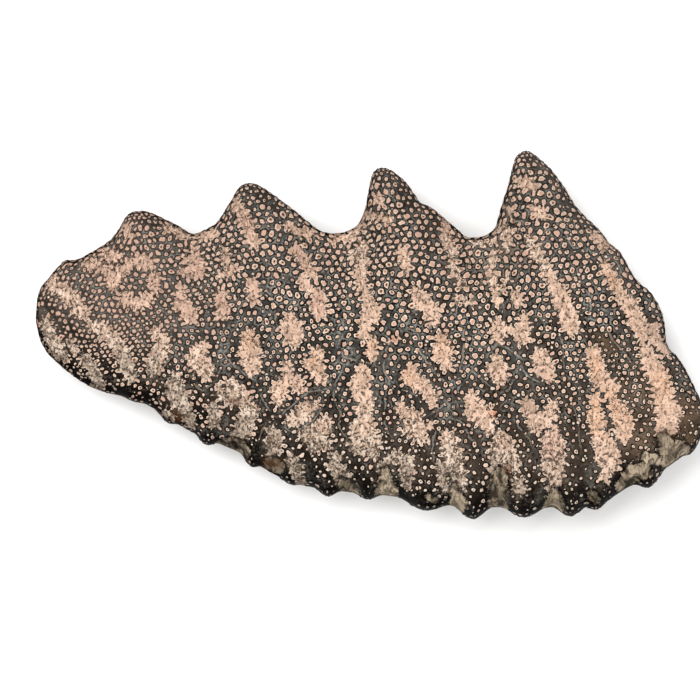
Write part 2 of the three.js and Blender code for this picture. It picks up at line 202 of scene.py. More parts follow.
# the cream patches on the face, each a path of (x, y, radius)
creamPatches = [
    [(-22.8, 3.8, 0.45), (-21.6, 2.7, 0.65), (-20.5, 1.5, 0.5)],
    [(-23.3, 0.9, 0.4), (-22.9, -0.4, 0.5), (-22.1, -1.6, 0.5)],
    [(-21.5, -0.5, 0.25), (-21.2, -1.2, 0.3)],
    [(-20.5, -1.7, 0.35), (-19.9, -2.6, 0.5), (-19.5, -3.7, 0.5)],
    [(-19.8, 0.6, 0.45), (-18.5, -0.2, 0.6), (-17.7, -1.4, 0.6), (-17.2, -2.9, 0.55)],
    [(-15.3, 0.1, 0.5), (-14.9, -0.9, 0.65), (-15.5, -2.4, 0.6)],
    [(-13.6, 3.2, 0.3), (-13.5, 2.2, 0.5), (-12.9, 1.2, 0.55)],
    [(-12.7, 5.9, 0.35), (-12.4, 4.6, 0.6)],
    [(-13.8, 4.4, 0.2), (-12.6, 4.5, 0.4)],
    [(-10.6, 2.7, 0.45), (-10.6, 1.4, 0.5)],
    [(-10.5, 6.0, 0.25), (-10.3, 5.3, 0.35)],
    [(-10.6, 4.3, 0.25), (-9.7, 4.7, 0.3)],
    [(-18.4, 3.4, 0.4), (-18.2, 4.3, 0.45), (-17.4, 4.9, 0.4), (-16.6, 5.3, 0.5), (-15.8, 4.9, 0.4)],
    [(-15.5, 4.1, 0.4), (-15.5, 3.2, 0.4)],
    [(-15.8, 2.6, 0.35), (-16.4, 2.1, 0.45), (-17.6, 2.5, 0.45)],
    [(-19.9, 4.9, 0.25), (-19.0, 4.6, 0.35), (-18.6, 3.7, 0.35)],
    [(-17.8, 7.9, 0.3), (-17.3, 7.1, 0.4)],
    [(-19.0, 5.9, 0.3), (-18.3, 5.5, 0.4)],
    [(-20.6, 5.1, 0.2), (-19.6, 5.2, 0.25)],
    [(-14.6, 7.6, 0.25), (-13.2, 7.0, 0.3)],
    [(-12.2, 6.9, 0.25), (-11.2, 7.2, 0.35)],
    [(-9.7, 9.6, 0.3), (-9.4, 8.8, 0.4), (-8.8, 7.8, 0.5), (-8.4, 6.5, 0.45)],
    [(-8.4, 3.7, 0.45), (-8.4, 2.6, 0.5)],
    [(-8.7, -0.1, 0.5), (-8.7, -1.1, 0.8), (-8.5, -2.2, 0.65)],
    [(-12.0, -0.9, 0.45), (-12.5, -1.6, 0.65), (-11.9, -2.5, 0.7)],
    [(-14.1, -3.0, 0.4), (-14.0, -3.8, 0.7), (-13.7, -4.6, 0.7), (-13.2, -5.5, 0.5), (-12.9, -6.4, 0.4)],
    [(-9.9, -3.7, 0.6), (-10.0, -4.4, 0.7), (-9.0, -4.9, 0.4)],
    [(-11.2, -5.3, 0.45), (-11.1, -6.3, 0.5)],
    [(-8.7, -5.5, 0.7), (-9.1, -6.7, 0.7), (-9.6, -7.5, 0.5)],
    [(-14.8, -5.6, 0.35), (-14.3, -5.9, 0.25)],
    [(-6.0, 7.8, 0.3), (-5.0, 7.3, 0.4), (-3.9, 7.1, 0.25)],
    [(-5.4, 6.1, 0.35), (-4.7, 5.2, 0.4), (-4.2, 4.3, 0.4)],
    [(-4.8, 3.9, 0.3), (-4.5, 3.3, 0.35)],
    [(-3.7, 2.9, 0.45), (-3.6, 1.7, 0.6)],
    [(-5.8, 1.1, 0.4), (-5.6, 0.4, 0.85), (-5.6, -0.3, 0.6)],
    [(-3.9, -1.4, 0.45), (-4.0, -2.2, 0.65), (-3.6, -3.1, 0.5)],
    [(-6.0, -2.2, 0.3), (-5.9, -3.2, 0.45), (-6.4, -4.0, 0.6), (-6.6, -4.8, 0.4)],
    [(-5.3, -3.5, 0.5), (-5.0, -3.9, 0.4)],
    [(-0.6, 6.4, 0.3), (-0.6, 5.3, 0.45), (-0.7, 3.9, 0.45), (-0.3, 2.8, 0.25), (0.1, 1.7, 0.65),
     (-0.4, 0.7, 0.45), (-0.4, -0.2, 0.35)],
    [(0.1, -0.6, 0.4), (0.1, -1.3, 0.45)],
    [(-2.6, 6.7, 0.25), (-1.5, 6.9, 0.35), (-0.6, 7.8, 0.3)],
    [(-1.6, 5.8, 0.25), (-1.0, 5.4, 0.3)],
    [(-0.3, 8.5, 0.3), (0.6, 8.3, 0.3), (1.3, 8.1, 0.35)],
    [(0.5, 9.7, 0.35), (0.7, 9.4, 0.2)],
    [(2.1, 5.9, 0.35), (2.5, 5.2, 0.5), (2.5, 4.6, 0.3)],
    [(3.3, 3.1, 0.35), (3.6, 2.4, 0.6), (4.4, 1.7, 0.65), (4.5, 0.9, 0.35)],
    [(2.8, -2.4, 0.35), (2.8, -3.1, 0.55), (3.8, -3.7, 0.5), (4.4, -4.6, 0.45)],
    [(-0.6, -2.7, 0.55), (-0.7, -3.7, 0.75), (-0.4, -4.9, 0.6), (-0.4, -5.9, 0.55), (-0.5, -6.8, 0.9),
     (-0.7, -7.8, 0.8)],
    [(0.3, -7.7, 0.5), (0.2, -8.5, 0.4)],
    [(-5.6, -6.2, 0.5), (-4.7, -5.6, 0.75), (-3.9, -5.1, 0.35)],
    [(-4.6, -7.2, 0.6), (-3.7, -6.9, 0.85), (-3.2, -6.3, 0.4)],
    [(-4.0, -7.9, 0.6), (-3.3, -7.9, 0.5)],
    [(-7.1, -7.0, 0.4), (-6.9, -7.9, 0.6), (-7.1, -8.6, 0.4)],
    [(-5.6, -9.1, 0.5), (-5.2, -10.0, 0.55), (-5.0, -10.6, 0.4)],
    [(-2.5, -8.8, 0.4), (-2.4, -9.6, 0.6), (-2.0, -10.3, 0.6)],
    [(0.8, -9.7, 0.35), (1.2, -9.1, 0.4), (2.0, -8.7, 0.45), (2.6, -9.1, 0.5), (2.6, -10.0, 0.55),
     (2.6, -10.7, 0.3)],
    [(2.2, -5.3, 0.4), (2.5, -5.7, 0.4), (3.5, -5.9, 0.3)],
    [(2.7, -6.7, 0.4), (3.5, -7.2, 0.65)],
    [(4.3, -6.5, 0.2), (3.7, -6.7, 0.3)],
    [(4.9, -0.4, 0.5), (5.2, -1.3, 0.75), (5.5, -2.3, 0.35)],
    [(5.5, -7.2, 0.35), (5.7, -8.0, 0.7), (5.9, -9.2, 0.8), (6.3, -10.2, 0.5), (6.3, -11.2, 0.4)],
    [(7.2, -4.5, 0.45), (7.4, -5.3, 0.8), (8.2, -6.2, 0.6), (8.4, -6.8, 0.4)],
    [(8.5, -5.5, 0.3), (8.7, -5.9, 0.3)],
    [(8.9, -1.8, 0.4), (9.1, -2.5, 0.75), (9.3, -3.2, 0.4)],
    [(9.4, -7.4, 0.45), (9.4, -8.2, 0.85), (10.0, -9.2, 0.7)],
    [(8.9, -9.0, 0.35), (8.7, -9.9, 0.3)],
    [(5.0, -9.3, 0.3), (5.1, -10.3, 0.3), (5.4, -11.0, 0.3)],
    [(6.2, 2.6, 0.2), (7.1, 2.3, 0.25)],
    [(-10.9, -4.0, 0.3), (-10.6, -4.5, 0.4)],
    [(-9.4, -3.8, 0.35), (-8.9, -4.4, 0.4)],
    [(-13.3, 5.5, 0.25), (-13.0, 4.8, 0.3)],
    [(1.4, -0.5, 0.15), (1.9, -0.3, 0.2)],
    [(20.6, -0.6, 0.3), (21.2, -1.3, 0.25)],
    [(10.5, -10.5, 0.4), (10.7, -11.2, 0.4)],
    [(11.1, -4.8, 0.35), (11.4, -5.6, 0.5), (11.8, -6.5, 0.55)],
    [(12.9, -5.1, 0.4), (12.8, -5.7, 0.5), (12.4, -6.3, 0.4)],
    [(13.2, -6.8, 0.3), (13.0, -7.6, 0.75), (13.1, -9.0, 0.85), (13.1, -10.2, 0.65), (13.0, -11.1, 0.45)],
    [(12.1, -1.6, 0.6), (12.4, -2.4, 0.75), (12.8, -3.2, 0.3)],
    [(11.0, 1.1, 0.35), (11.0, 0.5, 0.4), (10.9, -0.3, 0.55)],
    [(9.1, 0.6, 0.45), (9.1, 0.1, 0.5), (9.2, -0.5, 0.3)],
    [(9.5, 0.4, 0.3), (10.4, 0.2, 0.3)],
    [(8.9, 5.9, 0.25), (8.6, 4.8, 0.35), (8.8, 3.8, 0.3), (9.0, 2.8, 0.25), (9.1, 2.2, 0.25)],
    [(9.8, 4.2, 0.15), (9.5, 3.2, 0.15)],
    [(9.2, 7.6, 0.3), (9.9, 7.2, 0.3), (9.7, 6.2, 0.3)],
    [(9.7, 9.0, 0.2), (10.0, 8.7, 0.25)],
    [(10.5, 11.0, 0.25), (11.2, 10.7, 0.5), (11.7, 10.5, 0.3)],
    [(11.7, 9.0, 0.3), (12.2, 8.5, 0.45)],
    [(11.3, 6.8, 0.3), (11.6, 6.1, 0.4), (12.1, 5.4, 0.35), (12.6, 4.5, 0.4), (13.2, 3.5, 0.45),
     (13.6, 2.6, 0.6), (14.0, 1.6, 0.65), (14.3, 0.5, 0.55)],
    [(10.4, 2.7, 0.35), (10.6, 2.3, 0.3)],
    [(6.2, 4.6, 0.15), (6.6, 3.5, 0.3)],
    [(5.3, 7.9, 0.3), (5.4, 6.9, 0.4), (5.8, 6.1, 0.4), (5.8, 5.2, 0.3), (6.0, 4.2, 0.25)],
    [(7.4, 6.5, 0.2), (8.2, 6.4, 0.25), (9.0, 6.7, 0.2)],
    [(16.8, 4.9, 0.45), (17.2, 4.1, 0.45), (17.8, 3.0, 0.45), (18.5, 2.0, 0.6), (19.0, 1.0, 0.55),
     (19.4, -0.1, 0.5)],
    [(16.1, 7.1, 0.3), (16.8, 6.2, 0.35)],
    [(20.3, 0.5, 0.4), (20.2, -0.3, 0.35)],
    [(19.7, -1.0, 0.4), (20.0, -2.0, 0.7), (20.7, -3.2, 0.65), (20.9, -4.6, 0.75), (21.3, -5.8, 0.8),
     (21.0, -6.9, 0.7)],
    [(15.8, -1.2, 0.45), (16.1, -2.2, 0.55), (16.4, -3.1, 0.6), (17.1, -4.0, 0.65)],
    [(16.1, -4.7, 0.4), (16.1, -5.9, 0.5), (16.3, -7.1, 0.55), (16.9, -8.4, 0.9), (17.0, -9.4, 0.7)],
    [(16.6, -10.0, 0.4), (16.8, -10.4, 0.3)],
    [(17.6, -5.2, 0.5), (18.0, -6.2, 0.7), (18.0, -7.1, 0.6)],
]

# smooth hollows along the folded edge, and brown stains
smoothHollows = [
    [(-2.0, -10.6, 0.2), (-1.6, -11.2, 0.75)],
    [(1.0, -9.8, 0.15), (1.1, -10.5, 0.45), (1.1, -11.4, 0.8)],
    [(9.3, -9.9, 0.3), (9.1, -10.9, 0.65), (9.2, -12.0, 0.75)],
    [(13.2, -11.3, 0.2), (13.2, -11.8, 0.5), (13.1, -12.4, 0.7)],
    [(15.7, -11.4, 0.2), (16.1, -11.8, 0.3)],
    [(17.9, -10.9, 0.3), (18.7, -10.0, 0.5), (19.6, -9.8, 0.5)],
    [(19.7, -8.8, 0.25), (20.3, -9.0, 0.35)],
    [(20.9, -7.4, 0.3), (21.2, -8.2, 0.55), (22.3, -8.3, 0.5)],
    [(21.4, -8.6, 0.5), (21.3, -9.1, 0.4)],
    [(6.0, -10.9, 0.15), (6.1, -11.5, 0.3), (6.3, -12.2, 0.5)],
    [(-7.2, -9.3, 0.4), (-6.6, -9.5, 0.4)],
    [(-10.6, -7.7, 0.15), (-9.6, -7.9, 0.35), (-9.0, -8.4, 0.3)],
    [(4.1, -11.6, 0.15), (4.6, -11.9, 0.2)],
]
brownStains = [
    [(-13.9, -5.7, 0.4), (-13.7, -6.0, 0.35)],
    [(-10.2, -4.8, 0.25), (-9.4, -4.9, 0.35)],
    [(9.5, -9.5, 0.2), (9.8, -9.7, 0.3)],
    [(-7.4, -9.2, 0.4), (-6.6, -9.3, 0.4)],
]

# dark channels in the ground between the patches
darkBands = [
    [(-23.4, 2.6, 0.2), (-22.2, 1.0, 0.3), (-21.0, -0.3, 0.4), (-19.4, -1.7, 0.4), (-18.4, -3.2, 0.4),
     (-17.2, -4.0, 0.4), (-16.2, -3.8, 0.45), (-15.5, -4.5, 0.3)],
    [(-22.4, -2.0, 0.2), (-20.8, -3.1, 0.3), (-19.6, -4.0, 0.2)],
    [(-13.0, -3.0, 0.2), (-12.6, -4.4, 0.35), (-12.1, -5.8, 0.45), (-12.0, -7.4, 0.4)],
    [(-8.8, -3.6, 0.25), (-8.0, -4.9, 0.4), (-8.0, -6.3, 0.4), (-8.3, -7.6, 0.3), (-8.5, -8.8, 0.5)],
    [(-7.4, -5.7, 0.2), (-6.4, -6.2, 0.3), (-5.9, -7.3, 0.4), (-6.1, -8.4, 0.3)],
    [(-5.6, -8.0, 0.2), (-4.3, -8.9, 0.4), (-3.7, -9.8, 0.6), (-3.2, -10.9, 0.5)],
    [(-2.9, -4.3, 0.2), (-2.4, -5.4, 0.4), (-2.0, -7.0, 0.4), (-1.5, -8.5, 0.45), (-0.8, -9.6, 0.5),
     (-0.4, -10.8, 0.5)],
    [(1.0, -4.4, 0.2), (1.3, -6.0, 0.45), (1.2, -7.6, 0.4), (1.2, -8.7, 0.3)],
    [(2.0, -7.6, 0.1), (3.2, -8.1, 0.2), (4.2, -9.2, 0.35), (4.3, -10.8, 0.5), (3.6, -11.8, 0.5)],
    [(4.6, -6.0, 0.2), (4.5, -7.4, 0.35), (4.6, -8.8, 0.2)],
    [(6.1, -5.7, 0.2), (6.9, -7.1, 0.45), (7.6, -8.7, 0.5), (7.7, -10.3, 0.5), (7.4, -12.2, 0.5)],
    [(8.4, -4.2, 0.2), (9.4, -5.4, 0.4), (10.2, -7.0, 0.45), (11.1, -8.9, 0.6), (11.5, -10.6, 0.5),
     (11.1, -12.2, 0.5)],
    [(14.2, -3.8, 0.2), (14.5, -5.4, 0.4), (14.8, -7.6, 0.6), (14.9, -10.0, 0.7),
     (14.3, -12.2, 0.6)],
    [(14.8, -0.2, 0.2), (16.0, 0.1, 0.35), (16.9, -0.8, 0.55), (17.2, -2.0, 0.55), (17.8, -3.4, 0.5)],
    [(11.9, 0.0, 0.2), (12.9, -0.9, 0.3), (13.3, -1.6, 0.2)],
    [(10.9, -3.6, 0.2), (11.8, -4.0, 0.3), (13.6, -3.9, 0.3)],
    [(-4.8, -4.4, 0.1), (-3.4, -4.0, 0.25), (-2.5, -4.4, 0.2)],
    [(1.4, -4.1, 0.1), (2.4, -4.3, 0.25), (3.2, -4.9, 0.1)],
    [(6.6, -3.6, 0.1), (7.6, -3.4, 0.25), (8.7, -4.1, 0.3), (9.9, -4.2, 0.2)],
    [(18.7, -8.0, 0.2), (18.4, -9.0, 0.4), (17.8, -10.2, 0.4), (16.9, -11.3, 0.3)],
    [(22.9, -6.6, 0.2), (23.1, -7.4, 0.3)],
    [(3.0, 4.6, 0.2), (3.9, 3.9, 0.3), (4.9, 2.9, 0.25), (5.3, 1.6, 0.15)],
    [(-9.8, -2.6, 0.1), (-8.9, -3.4, 0.2), (-7.9, -3.6, 0.15)],
]

# dark and finely dotted places: the cusps' tips and front flanks, and two channels. On the tips and flanks
# the darkness is partly the ground's own colour and partly painted shade
cuspFlanks = [
    [(-9.2, 10.6, 0.5), (-7.9, 10.2, 0.8), (-6.9, 9.4, 0.5)],
    [(0.6, 11.7, 0.7), (2.0, 11.2, 0.6), (3.0, 9.7, 0.65), (4.2, 8.5, 0.65), (5.3, 7.8, 0.3)],
    [(4.0, 8.0, 0.5), (4.3, 6.8, 0.35), (4.0, 5.6, 0.1)],
    [(10.8, 12.9, 0.6), (12.2, 12.2, 0.5), (13.6, 10.5, 0.6), (15.0, 8.5, 0.5), (16.0, 7.8, 0.2)],
    [(-16.8, 8.6, 0.2), (-15.3, 8.0, 0.5), (-13.8, 7.5, 0.25)],
    [(-21.8, 5.2, 0.1), (-21.3, 5.0, 0.25)],
    [(14.8, -0.2, 0.1), (16.0, 0.1, 0.3), (16.9, -0.8, 0.5), (17.2, -2.0, 0.5), (17.9, -3.4, 0.3)],
    [(-4.4, -4.4, 0.1), (-3.4, -4.3, 0.25), (-2.7, -5.3, 0.3), (-2.3, -6.4, 0.2)],
]

# thin pale lines in the ground, painted highlights along raised ridges, each a path of (x, y)
highlightLines = [
    [(-14.2, -1.5), (-14.6, -2.0), (-14.9, -2.5), (-15.4, -3.0), (-15.9, -3.4)],
    [(-13.6, -1.1), (-13.2, -2.3), (-12.8, -3.0), (-12.6, -3.6), (-12.0, -4.1), (-11.6, -3.8), (-11.1, -3.3),
     (-10.9, -2.9), (-10.6, -2.3)],
    [(-10.8, -0.8), (-10.5, -1.4), (-10.2, -1.8), (-9.8, -2.2), (-9.0, -2.9), (-8.2, -3.3), (-7.9, -4.2),
     (-7.7, -4.7), (-7.4, -5.2), (-7.0, -5.8), (-6.5, -5.9), (-6.2, -6.3), (-6.0, -6.8), (-5.5, -7.1)],
    [(-1.9, -2.4), (-2.3, -3.1), (-2.6, -3.6), (-3.0, -3.9), (-3.9, -4.05), (-4.6, -4.2), (-5.1, -4.6),
     (-5.6, -5.1), (-6.1, -5.5), (-6.5, -5.9)],
    [(-2.6, -3.8), (-2.7, -4.4), (-2.4, -5.1), (-2.1, -5.8), (-2.3, -6.4), (-2.0, -7.0), (-1.6, -7.7)],
    [(-3.5, -5.2), (-3.7, -5.7), (-4.0, -6.1), (-4.6, -6.5), (-5.2, -6.9)],
    [(-7.1, -5.9), (-7.6, -6.6), (-7.9, -7.2), (-8.1, -7.9)],
    [(1.6, -3.9), (2.1, -4.0), (2.7, -4.1), (3.2, -4.45), (3.7, -5.0)],
    [(6.6, -3.5), (6.0, -4.2), (5.3, -5.0), (4.8, -5.3), (4.2, -5.8)],
    [(5.6, -4.9), (5.9, -5.6), (6.2, -6.1), (6.6, -6.4), (6.9, -6.9), (7.1, -7.4), (7.6, -7.8)],
    [(4.8, -6.6), (4.5, -7.4), (4.4, -8.2), (4.5, -9.0), (4.4, -9.8)],
    [(1.5, -0.8), (1.1, -1.1), (1.1, -1.7), (0.9, -2.2), (1.0, -2.8), (1.35, -3.3), (1.1, -4.2), (1.0, -5.2),
     (1.0, -6.4), (1.2, -7.0), (1.7, -7.6)],
    [(9.6, -5.2), (10.2, -6.0), (10.6, -6.6), (11.1, -7.2), (11.4, -7.7), (11.6, -8.5), (11.8, -9.2),
     (11.9, -10.0)],
    [(14.2, -4.6), (14.6, -5.4), (14.8, -6.2), (14.9, -7.0), (14.9, -7.8), (15.3, -8.8)],
    [(2.5, 0.4), (3.0, 0.3), (3.4, 0.0), (3.5, -0.4), (3.4, -1.0), (3.6, -1.4), (3.9, -1.7), (4.1, -2.1),
     (4.5, -2.6), (5.0, -3.2), (5.6, -3.5), (6.2, -2.9), (6.5, -2.1), (6.6, -1.4), (6.7, -0.8), (6.6, 0.0),
     (6.8, 0.7)],
    [(1.5, 0.7), (1.1, 0.5), (1.05, 0.0), (1.3, -0.4), (1.9, -0.7)],
    [(6.9, -2.5), (7.5, -2.85), (7.9, -3.2), (8.2, -3.5), (8.6, -3.8), (9.2, -4.0), (9.8, -4.05),
     (10.1, -3.5), (10.5, -3.0)],
    [(7.8, -0.95), (8.4, -0.9), (8.9, -0.75), (9.5, -0.9), (10.1, -1.2), (10.7, -1.7), (10.8, -2.4),
     (11.2, -3.0), (12.3, -3.6)],
    [(12.1, 1.4), (12.3, 0.7), (12.7, 0.2), (13.1, 0.1), (13.5, -0.2), (13.8, -0.9), (13.7, -1.6),
     (13.9, -2.6)],
    [(16.8, 0.8), (17.0, 0.2), (17.2, -0.3), (17.6, -0.8), (18.2, -1.4), (18.7, -2.3)],
    [(-7.6, 3.4), (-6.9, 2.4), (-6.8, 1.2), (-7.1, 0.2), (-6.9, -0.6)],
    [(-2.4, 2.4), (-1.9, 1.5), (-2.0, 0.3), (-2.5, -0.8), (-1.9, -1.6), (-0.9, -1.9), (0.2, -2.2)],
    [(6.1, 2.6), (6.2, 1.9), (6.0, 1.2)],
    [(14.6, 4.8), (14.9, 4.0), (15.2, 3.3), (15.7, 2.7), (15.7, 1.8), (15.6, 1.1), (16.3, 0.9)],
    [(13.9, 7.3), (14.1, 6.6), (14.5, 6.1), (15.1, 6.3), (15.8, 5.8), (16.6, 5.5), (17.2, 5.5), (17.7, 5.0),
     (17.9, 4.3), (18.2, 3.7)],
    [(9.9, 8.1), (10.8, 8.0), (11.5, 7.6), (12.3, 7.3), (13.0, 7.5), (13.6, 8.0), (14.1, 8.1)],
]

# spots of (x, y, radius): where the patches turn orange, are weathered or tanned, rosy or rusty, and where
# the hollows are pale or dim
orangeSpots = [
    (-8.8, -0.3, 1.0), (-6.6, -4.3, 0.7), (2.7, -2.8, 1.0), (5.2, -0.6, 1.0), (16.0, -4.6, 1.6),
    (16.1, -6.8, 1.0), (18.0, -5.6, 1.4), (8.8, -5.6, 0.5), (6.9, -9.4, 0.6), (20.8, -3.6, 1.3),
    (15.9, -2.2, 1.0), (0.0, -1.1, 0.6), (-4.0, -2.0, 0.7), (17.0, 4.0, 1.0), (10.4, 4.6, 1.0),
]
frostSpots = [
    (9.2, 4.6, 1.5), (11.2, 6.2, 1.3), (8.6, 6.6, 1.4), (7.0, 2.9, 0.9), (-1.0, 5.6, 1.2), (12.4, 5.0, 0.9),
    (6.2, 5.6, 1.4),
]
tanSpots = [
    (22.9, -5.4, 1.2), (22.9, -7.4, 1.0), (21.9, -6.9, 0.8), (9.4, 5.6, 0.8),
    (19.2, -4.6, 1.4), (19.2, -7.8, 1.2), (3.4, 3.0, 0.7), (16.9, -0.6, 0.8), (-19.0, 5.0, 1.2),
]
paleHollows = [(20.7, -8.7, 0.9), (6.2, -11.6, 0.6), (1.1, -10.4, 0.8)]
dimHollows = [(-1.7, -10.9, 0.9), (16.0, -11.7, 0.6), (18.6, -10.4, 0.5)]
rustSpots = [(1.7, -0.38, 0.3), (8.8, -5.7, 0.25), (9.8, -9.7, 0.2)]
rosySpots = [
    (13.0, -8.0, 1.4), (-13.4, 2.0, 1.4), (-10.6, 2.0, 1.1), (-17.0, 4.2, 3.0), (-12.4, 4.8, 1.4),
    (-8.4, 3.0, 1.0), (-20.0, 4.6, 1.6), (-9.0, 8.4, 1.6), (-3.9, 2.2, 1.0), (-4.8, 5.4, 1.2),
]

farOff = 9.0              # further off than any mark reaches
nudge = 0.02              # the step over which slopes are measured


def spotsAt(spots, x, y):
    # the sum over the spots of exp(-(distance / radius) squared), at most 1
    total = np.zeros_like(x)
    for spotX, spotY, radius in spots:
        total += np.exp(-((x - spotX) ** 2 + (y - spotY) ** 2) / radius ** 2)
    return total.clip(0, 1)


def offStretch(start, end, x, y):
    # the share along the stretch where a place is nearest to it, and how far off it is along x and along y
    dx, dy = end[0] - start[0], end[1] - start[1]
    share = np.clip(((x - start[0]) * dx + (y - start[1]) * dy) / (dx * dx + dy * dy), 0, 1)
    return share, x - start[0] - share * dx, y - start[1] - share * dy


def besidePaths(paths, x, y, near):
    # signed distance to the nearest path, positive on its left, and how close it runs: 1 on it and 0 beyond
    # near, which fades out over the path's ends
    closest = np.full(x.shape, farOff)
    side = np.full(x.shape, farOff)
    ends = np.full(x.shape, farOff)
    for path in paths:
        for start, end in zip(path, path[1:]):
            gap = np.hypot(*offStretch(start, end, x, y)[1:])
            left = np.sign((end[0] - start[0]) * (y - start[1]) - (end[1] - start[1]) * (x - start[0]))
            side = np.where(gap < closest, left * gap, side)
            closest = np.minimum(closest, gap)
        for endX, endY in (path[0], path[-1]):
            ends = np.minimum(ends, np.hypot(x - endX, y - endY))
    return side, smoothStep(closest, near, near / 2) * smoothStep(ends, 0, near)


def depthInside(paths, x, y):
    # for each stretch of each path: radius there - distance to it, and the greatest of them all
    deepest = np.full(x.shape, -farOff)
    for path in paths:
        for start, end in zip(path, path[1:]):
            share, offX, offY = offStretch(start, end, x, y)
            deepest = np.maximum(deepest, start[2] + share * (end[2] - start[2]) - np.hypot(offX, offY))
    return deepest


def patchSlope(x, y):
    # the depth inside the patches, and how it grows for each mm along x and along y
    depth = depthInside(creamPatches, x, y)
    slopeX = (depthInside(creamPatches, x + nudge, y) - depth) / nudge
    slopeY = (depthInside(creamPatches, x, y + nudge) - depth) / nudge
    return depth, slopeX, slopeY


def aboveFoldedEdge(x, y):
    # y less the folded edge's y at the same x
    return y - np.interp(x, foldedLine[:, 0], foldedLine[:, 1])


# where each change over the plate begins and where it is full, in mm: rims above the folded edge, backs and
# fronts along the length, lows, cusps and tips across it, the others from the marks they are named after
zones = {
    "warmRim": (6.5, 2.0), "warmFront": (8, 26), "darkBand": (-0.5, 0.12), "darkFlank": (-0.5, 0.2),
    "darkRim": (2.2, 0.5), "brownRim": (0.8, 3.0), "brownFront": (-3, 6),
    "ring": (-0.95, -0.45), "ringLow": (4.5, 0.5), "ringBack": (-11, -16), "ringCusps": (-2, 2),
    "ashenRim": (5.6, 2.4), "ashenBack": (18, 8), "weatheredRim": (8.5, 3.0), "weatheredBack": (20, 12),
    "looseRim": (8.0, 3.5), "looseBack": (19, 13), "looseCusps": (2.5, 5), "looseFront": (-15, -11),
    # the next zones: where dots near the folded edge are whitened as painted highlight
    "highlitRim": (6, 2), "highlitFront": (-10, -4),
    "dulledBack": (-6, -16), "dulledCusps": (-3, 1), "dulledTips": (1, 7),
    "crackedFront": (18.5, 20.5), "shadedEdge": (0.35, 0.02), "shadedRim": (1.1, 0.2),
    "dotsClose": (-7, -17), "dotsDarkRim": (3.0, 0.8), "dotsDarkFlank": (-0.3, 0.2),
    "dotsDarkBack": (-18, -21), "dotsRing": (-1.0, -0.65), "dotsRingEnd": (-0.15, -0.35),
    "dotsRingLow": (4, 1), "dotsGrowFront": (-10, -3), "dotsGrowFace": (3, 6), "dotsVaryRim": (5, 2),
    "dotsSmallRim": (3.5, 1.5),
    "raisedWave": (0.15, 0.8), "sunkPatch": (-0.2, 0.1), "dippedPatch": (-0.3, 0.3),
    "dippedHollow": (-0.7, 0.4), "knobEdge": (1.0, 0), "knobHollow": (0, -0.3),
    "swollenLow": (5, 2), "swollenFront": (-14, -9),
}


def within(value, name):
    # a smooth step from 0 where the zone begins to 1 where it is full
    return smoothStep(value, *zones[name])


# the tubules: a bent and loosened honeycomb of round dots
tubuleStyle = {
    "spacing": 0.57,
    "laidTo": 36.0,           # how far out from the middle the honeycomb is laid
    "stray": 0.2,             # how far a dot strays from its place, as a share of the spacing
    "bend": 0.22,             # how far long ripples move the honeycomb's rows
    "bendLength": 10.0,
    "closeness": 0.22,        # how much closer the dots stand at the back end, as a share of the spacing
    "radius": 0.163, "radiusSpread": 0.44,
    "swell": 0.034,           # growth of the dots for each mm towards the cusps
    "lean": 0.15,             # and what each mm towards the front takes off it, as a share
    "least": 0.78, "most": 1.42,
    "middleGrowth": 0.2,
    "darkShrink": 0.4,        # how much smaller the dots are in the darkest places
    "rimDark": 0.75, "backDark": 0.5,             # how dark the folded edge and the back end count
    "ringShrink": 0.2,        # how much smaller the dots are that ring a patch
    "rimSpread": 0.9, "rimMean": 0.35,            # how much more the sizes differ near the folded edge
    "smallShare": 0.15, "small": 0.6,             # the share of dots that shrink, and what they shrink to
    "smallShareRim": 0.37, "smallRim": 0.25,      # the same along the folded edge
    "stretch": 1.5,           # how far a dot may be drawn out
    "fringeStretch": 1.8,     # how far dots beside a patch are drawn out towards it
    "fringeReach": 0.3, "fringeTurn": 0.3,
    "apart": 0.8,             # how strongly neighbouring dots keep apart
    "evenedTo": 40.0, "evenedPlaces": 1601,       # how far out the even scale runs, and its number of places
}
rowStep = math.sqrt(0.75)


def scatter(i, j, salt):
    # a number from 0 to 1 for each pair: the fraction of 43758.5453 * sin of a slanted sum. Each salt gives
    # other numbers
    return np.modf(np.abs(np.sin(i * 12.9898 + j * 78.233 + salt * 37.719)) * 43758.5453)[0]


def ripples(x, y, length, salt, waves=9):
    # the sum of cosines in scattered directions, each about one length long, brought to a spread of 1
    count = np.arange(waves)
    turn = 2 * math.pi * scatter(count, 3, salt)
    pace = 2 * math.pi / length * (0.7 + 0.6 * scatter(count, 5, salt))
    lag = 2 * math.pi * scatter(count, 7, salt)
    total = np.zeros_like(x)
    for direction, speed, start in zip(turn, pace, lag):
        total += np.cos(speed * (x * math.cos(direction) + y * math.sin(direction)) + start)
    return total * math.sqrt(2 / waves)


def bendAt(x, y, style):
    # how far the honeycomb is moved along x and along y: bend * ripples
    return [style["bend"] * ripples(x, y, style["bendLength"], salt) for salt in (11, 12)]


def spacingShare(x, style):
    # the dots' spacing there as a share of the usual: 1 - closeness * how far back the place is
    return 1 - style["closeness"] * within(x, "dotsClose")


def evenScale(style):
    # places along the plate, and the same on a scale where the dots are evenly spaced: the sum of 1 / share
    scale = np.linspace(-style["evenedTo"], style["evenedTo"], style["evenedPlaces"])
    even = np.cumsum(1 / spacingShare(scale, style)) * (scale[1] - scale[0])
    return scale, even - np.interp(0, scale, even)


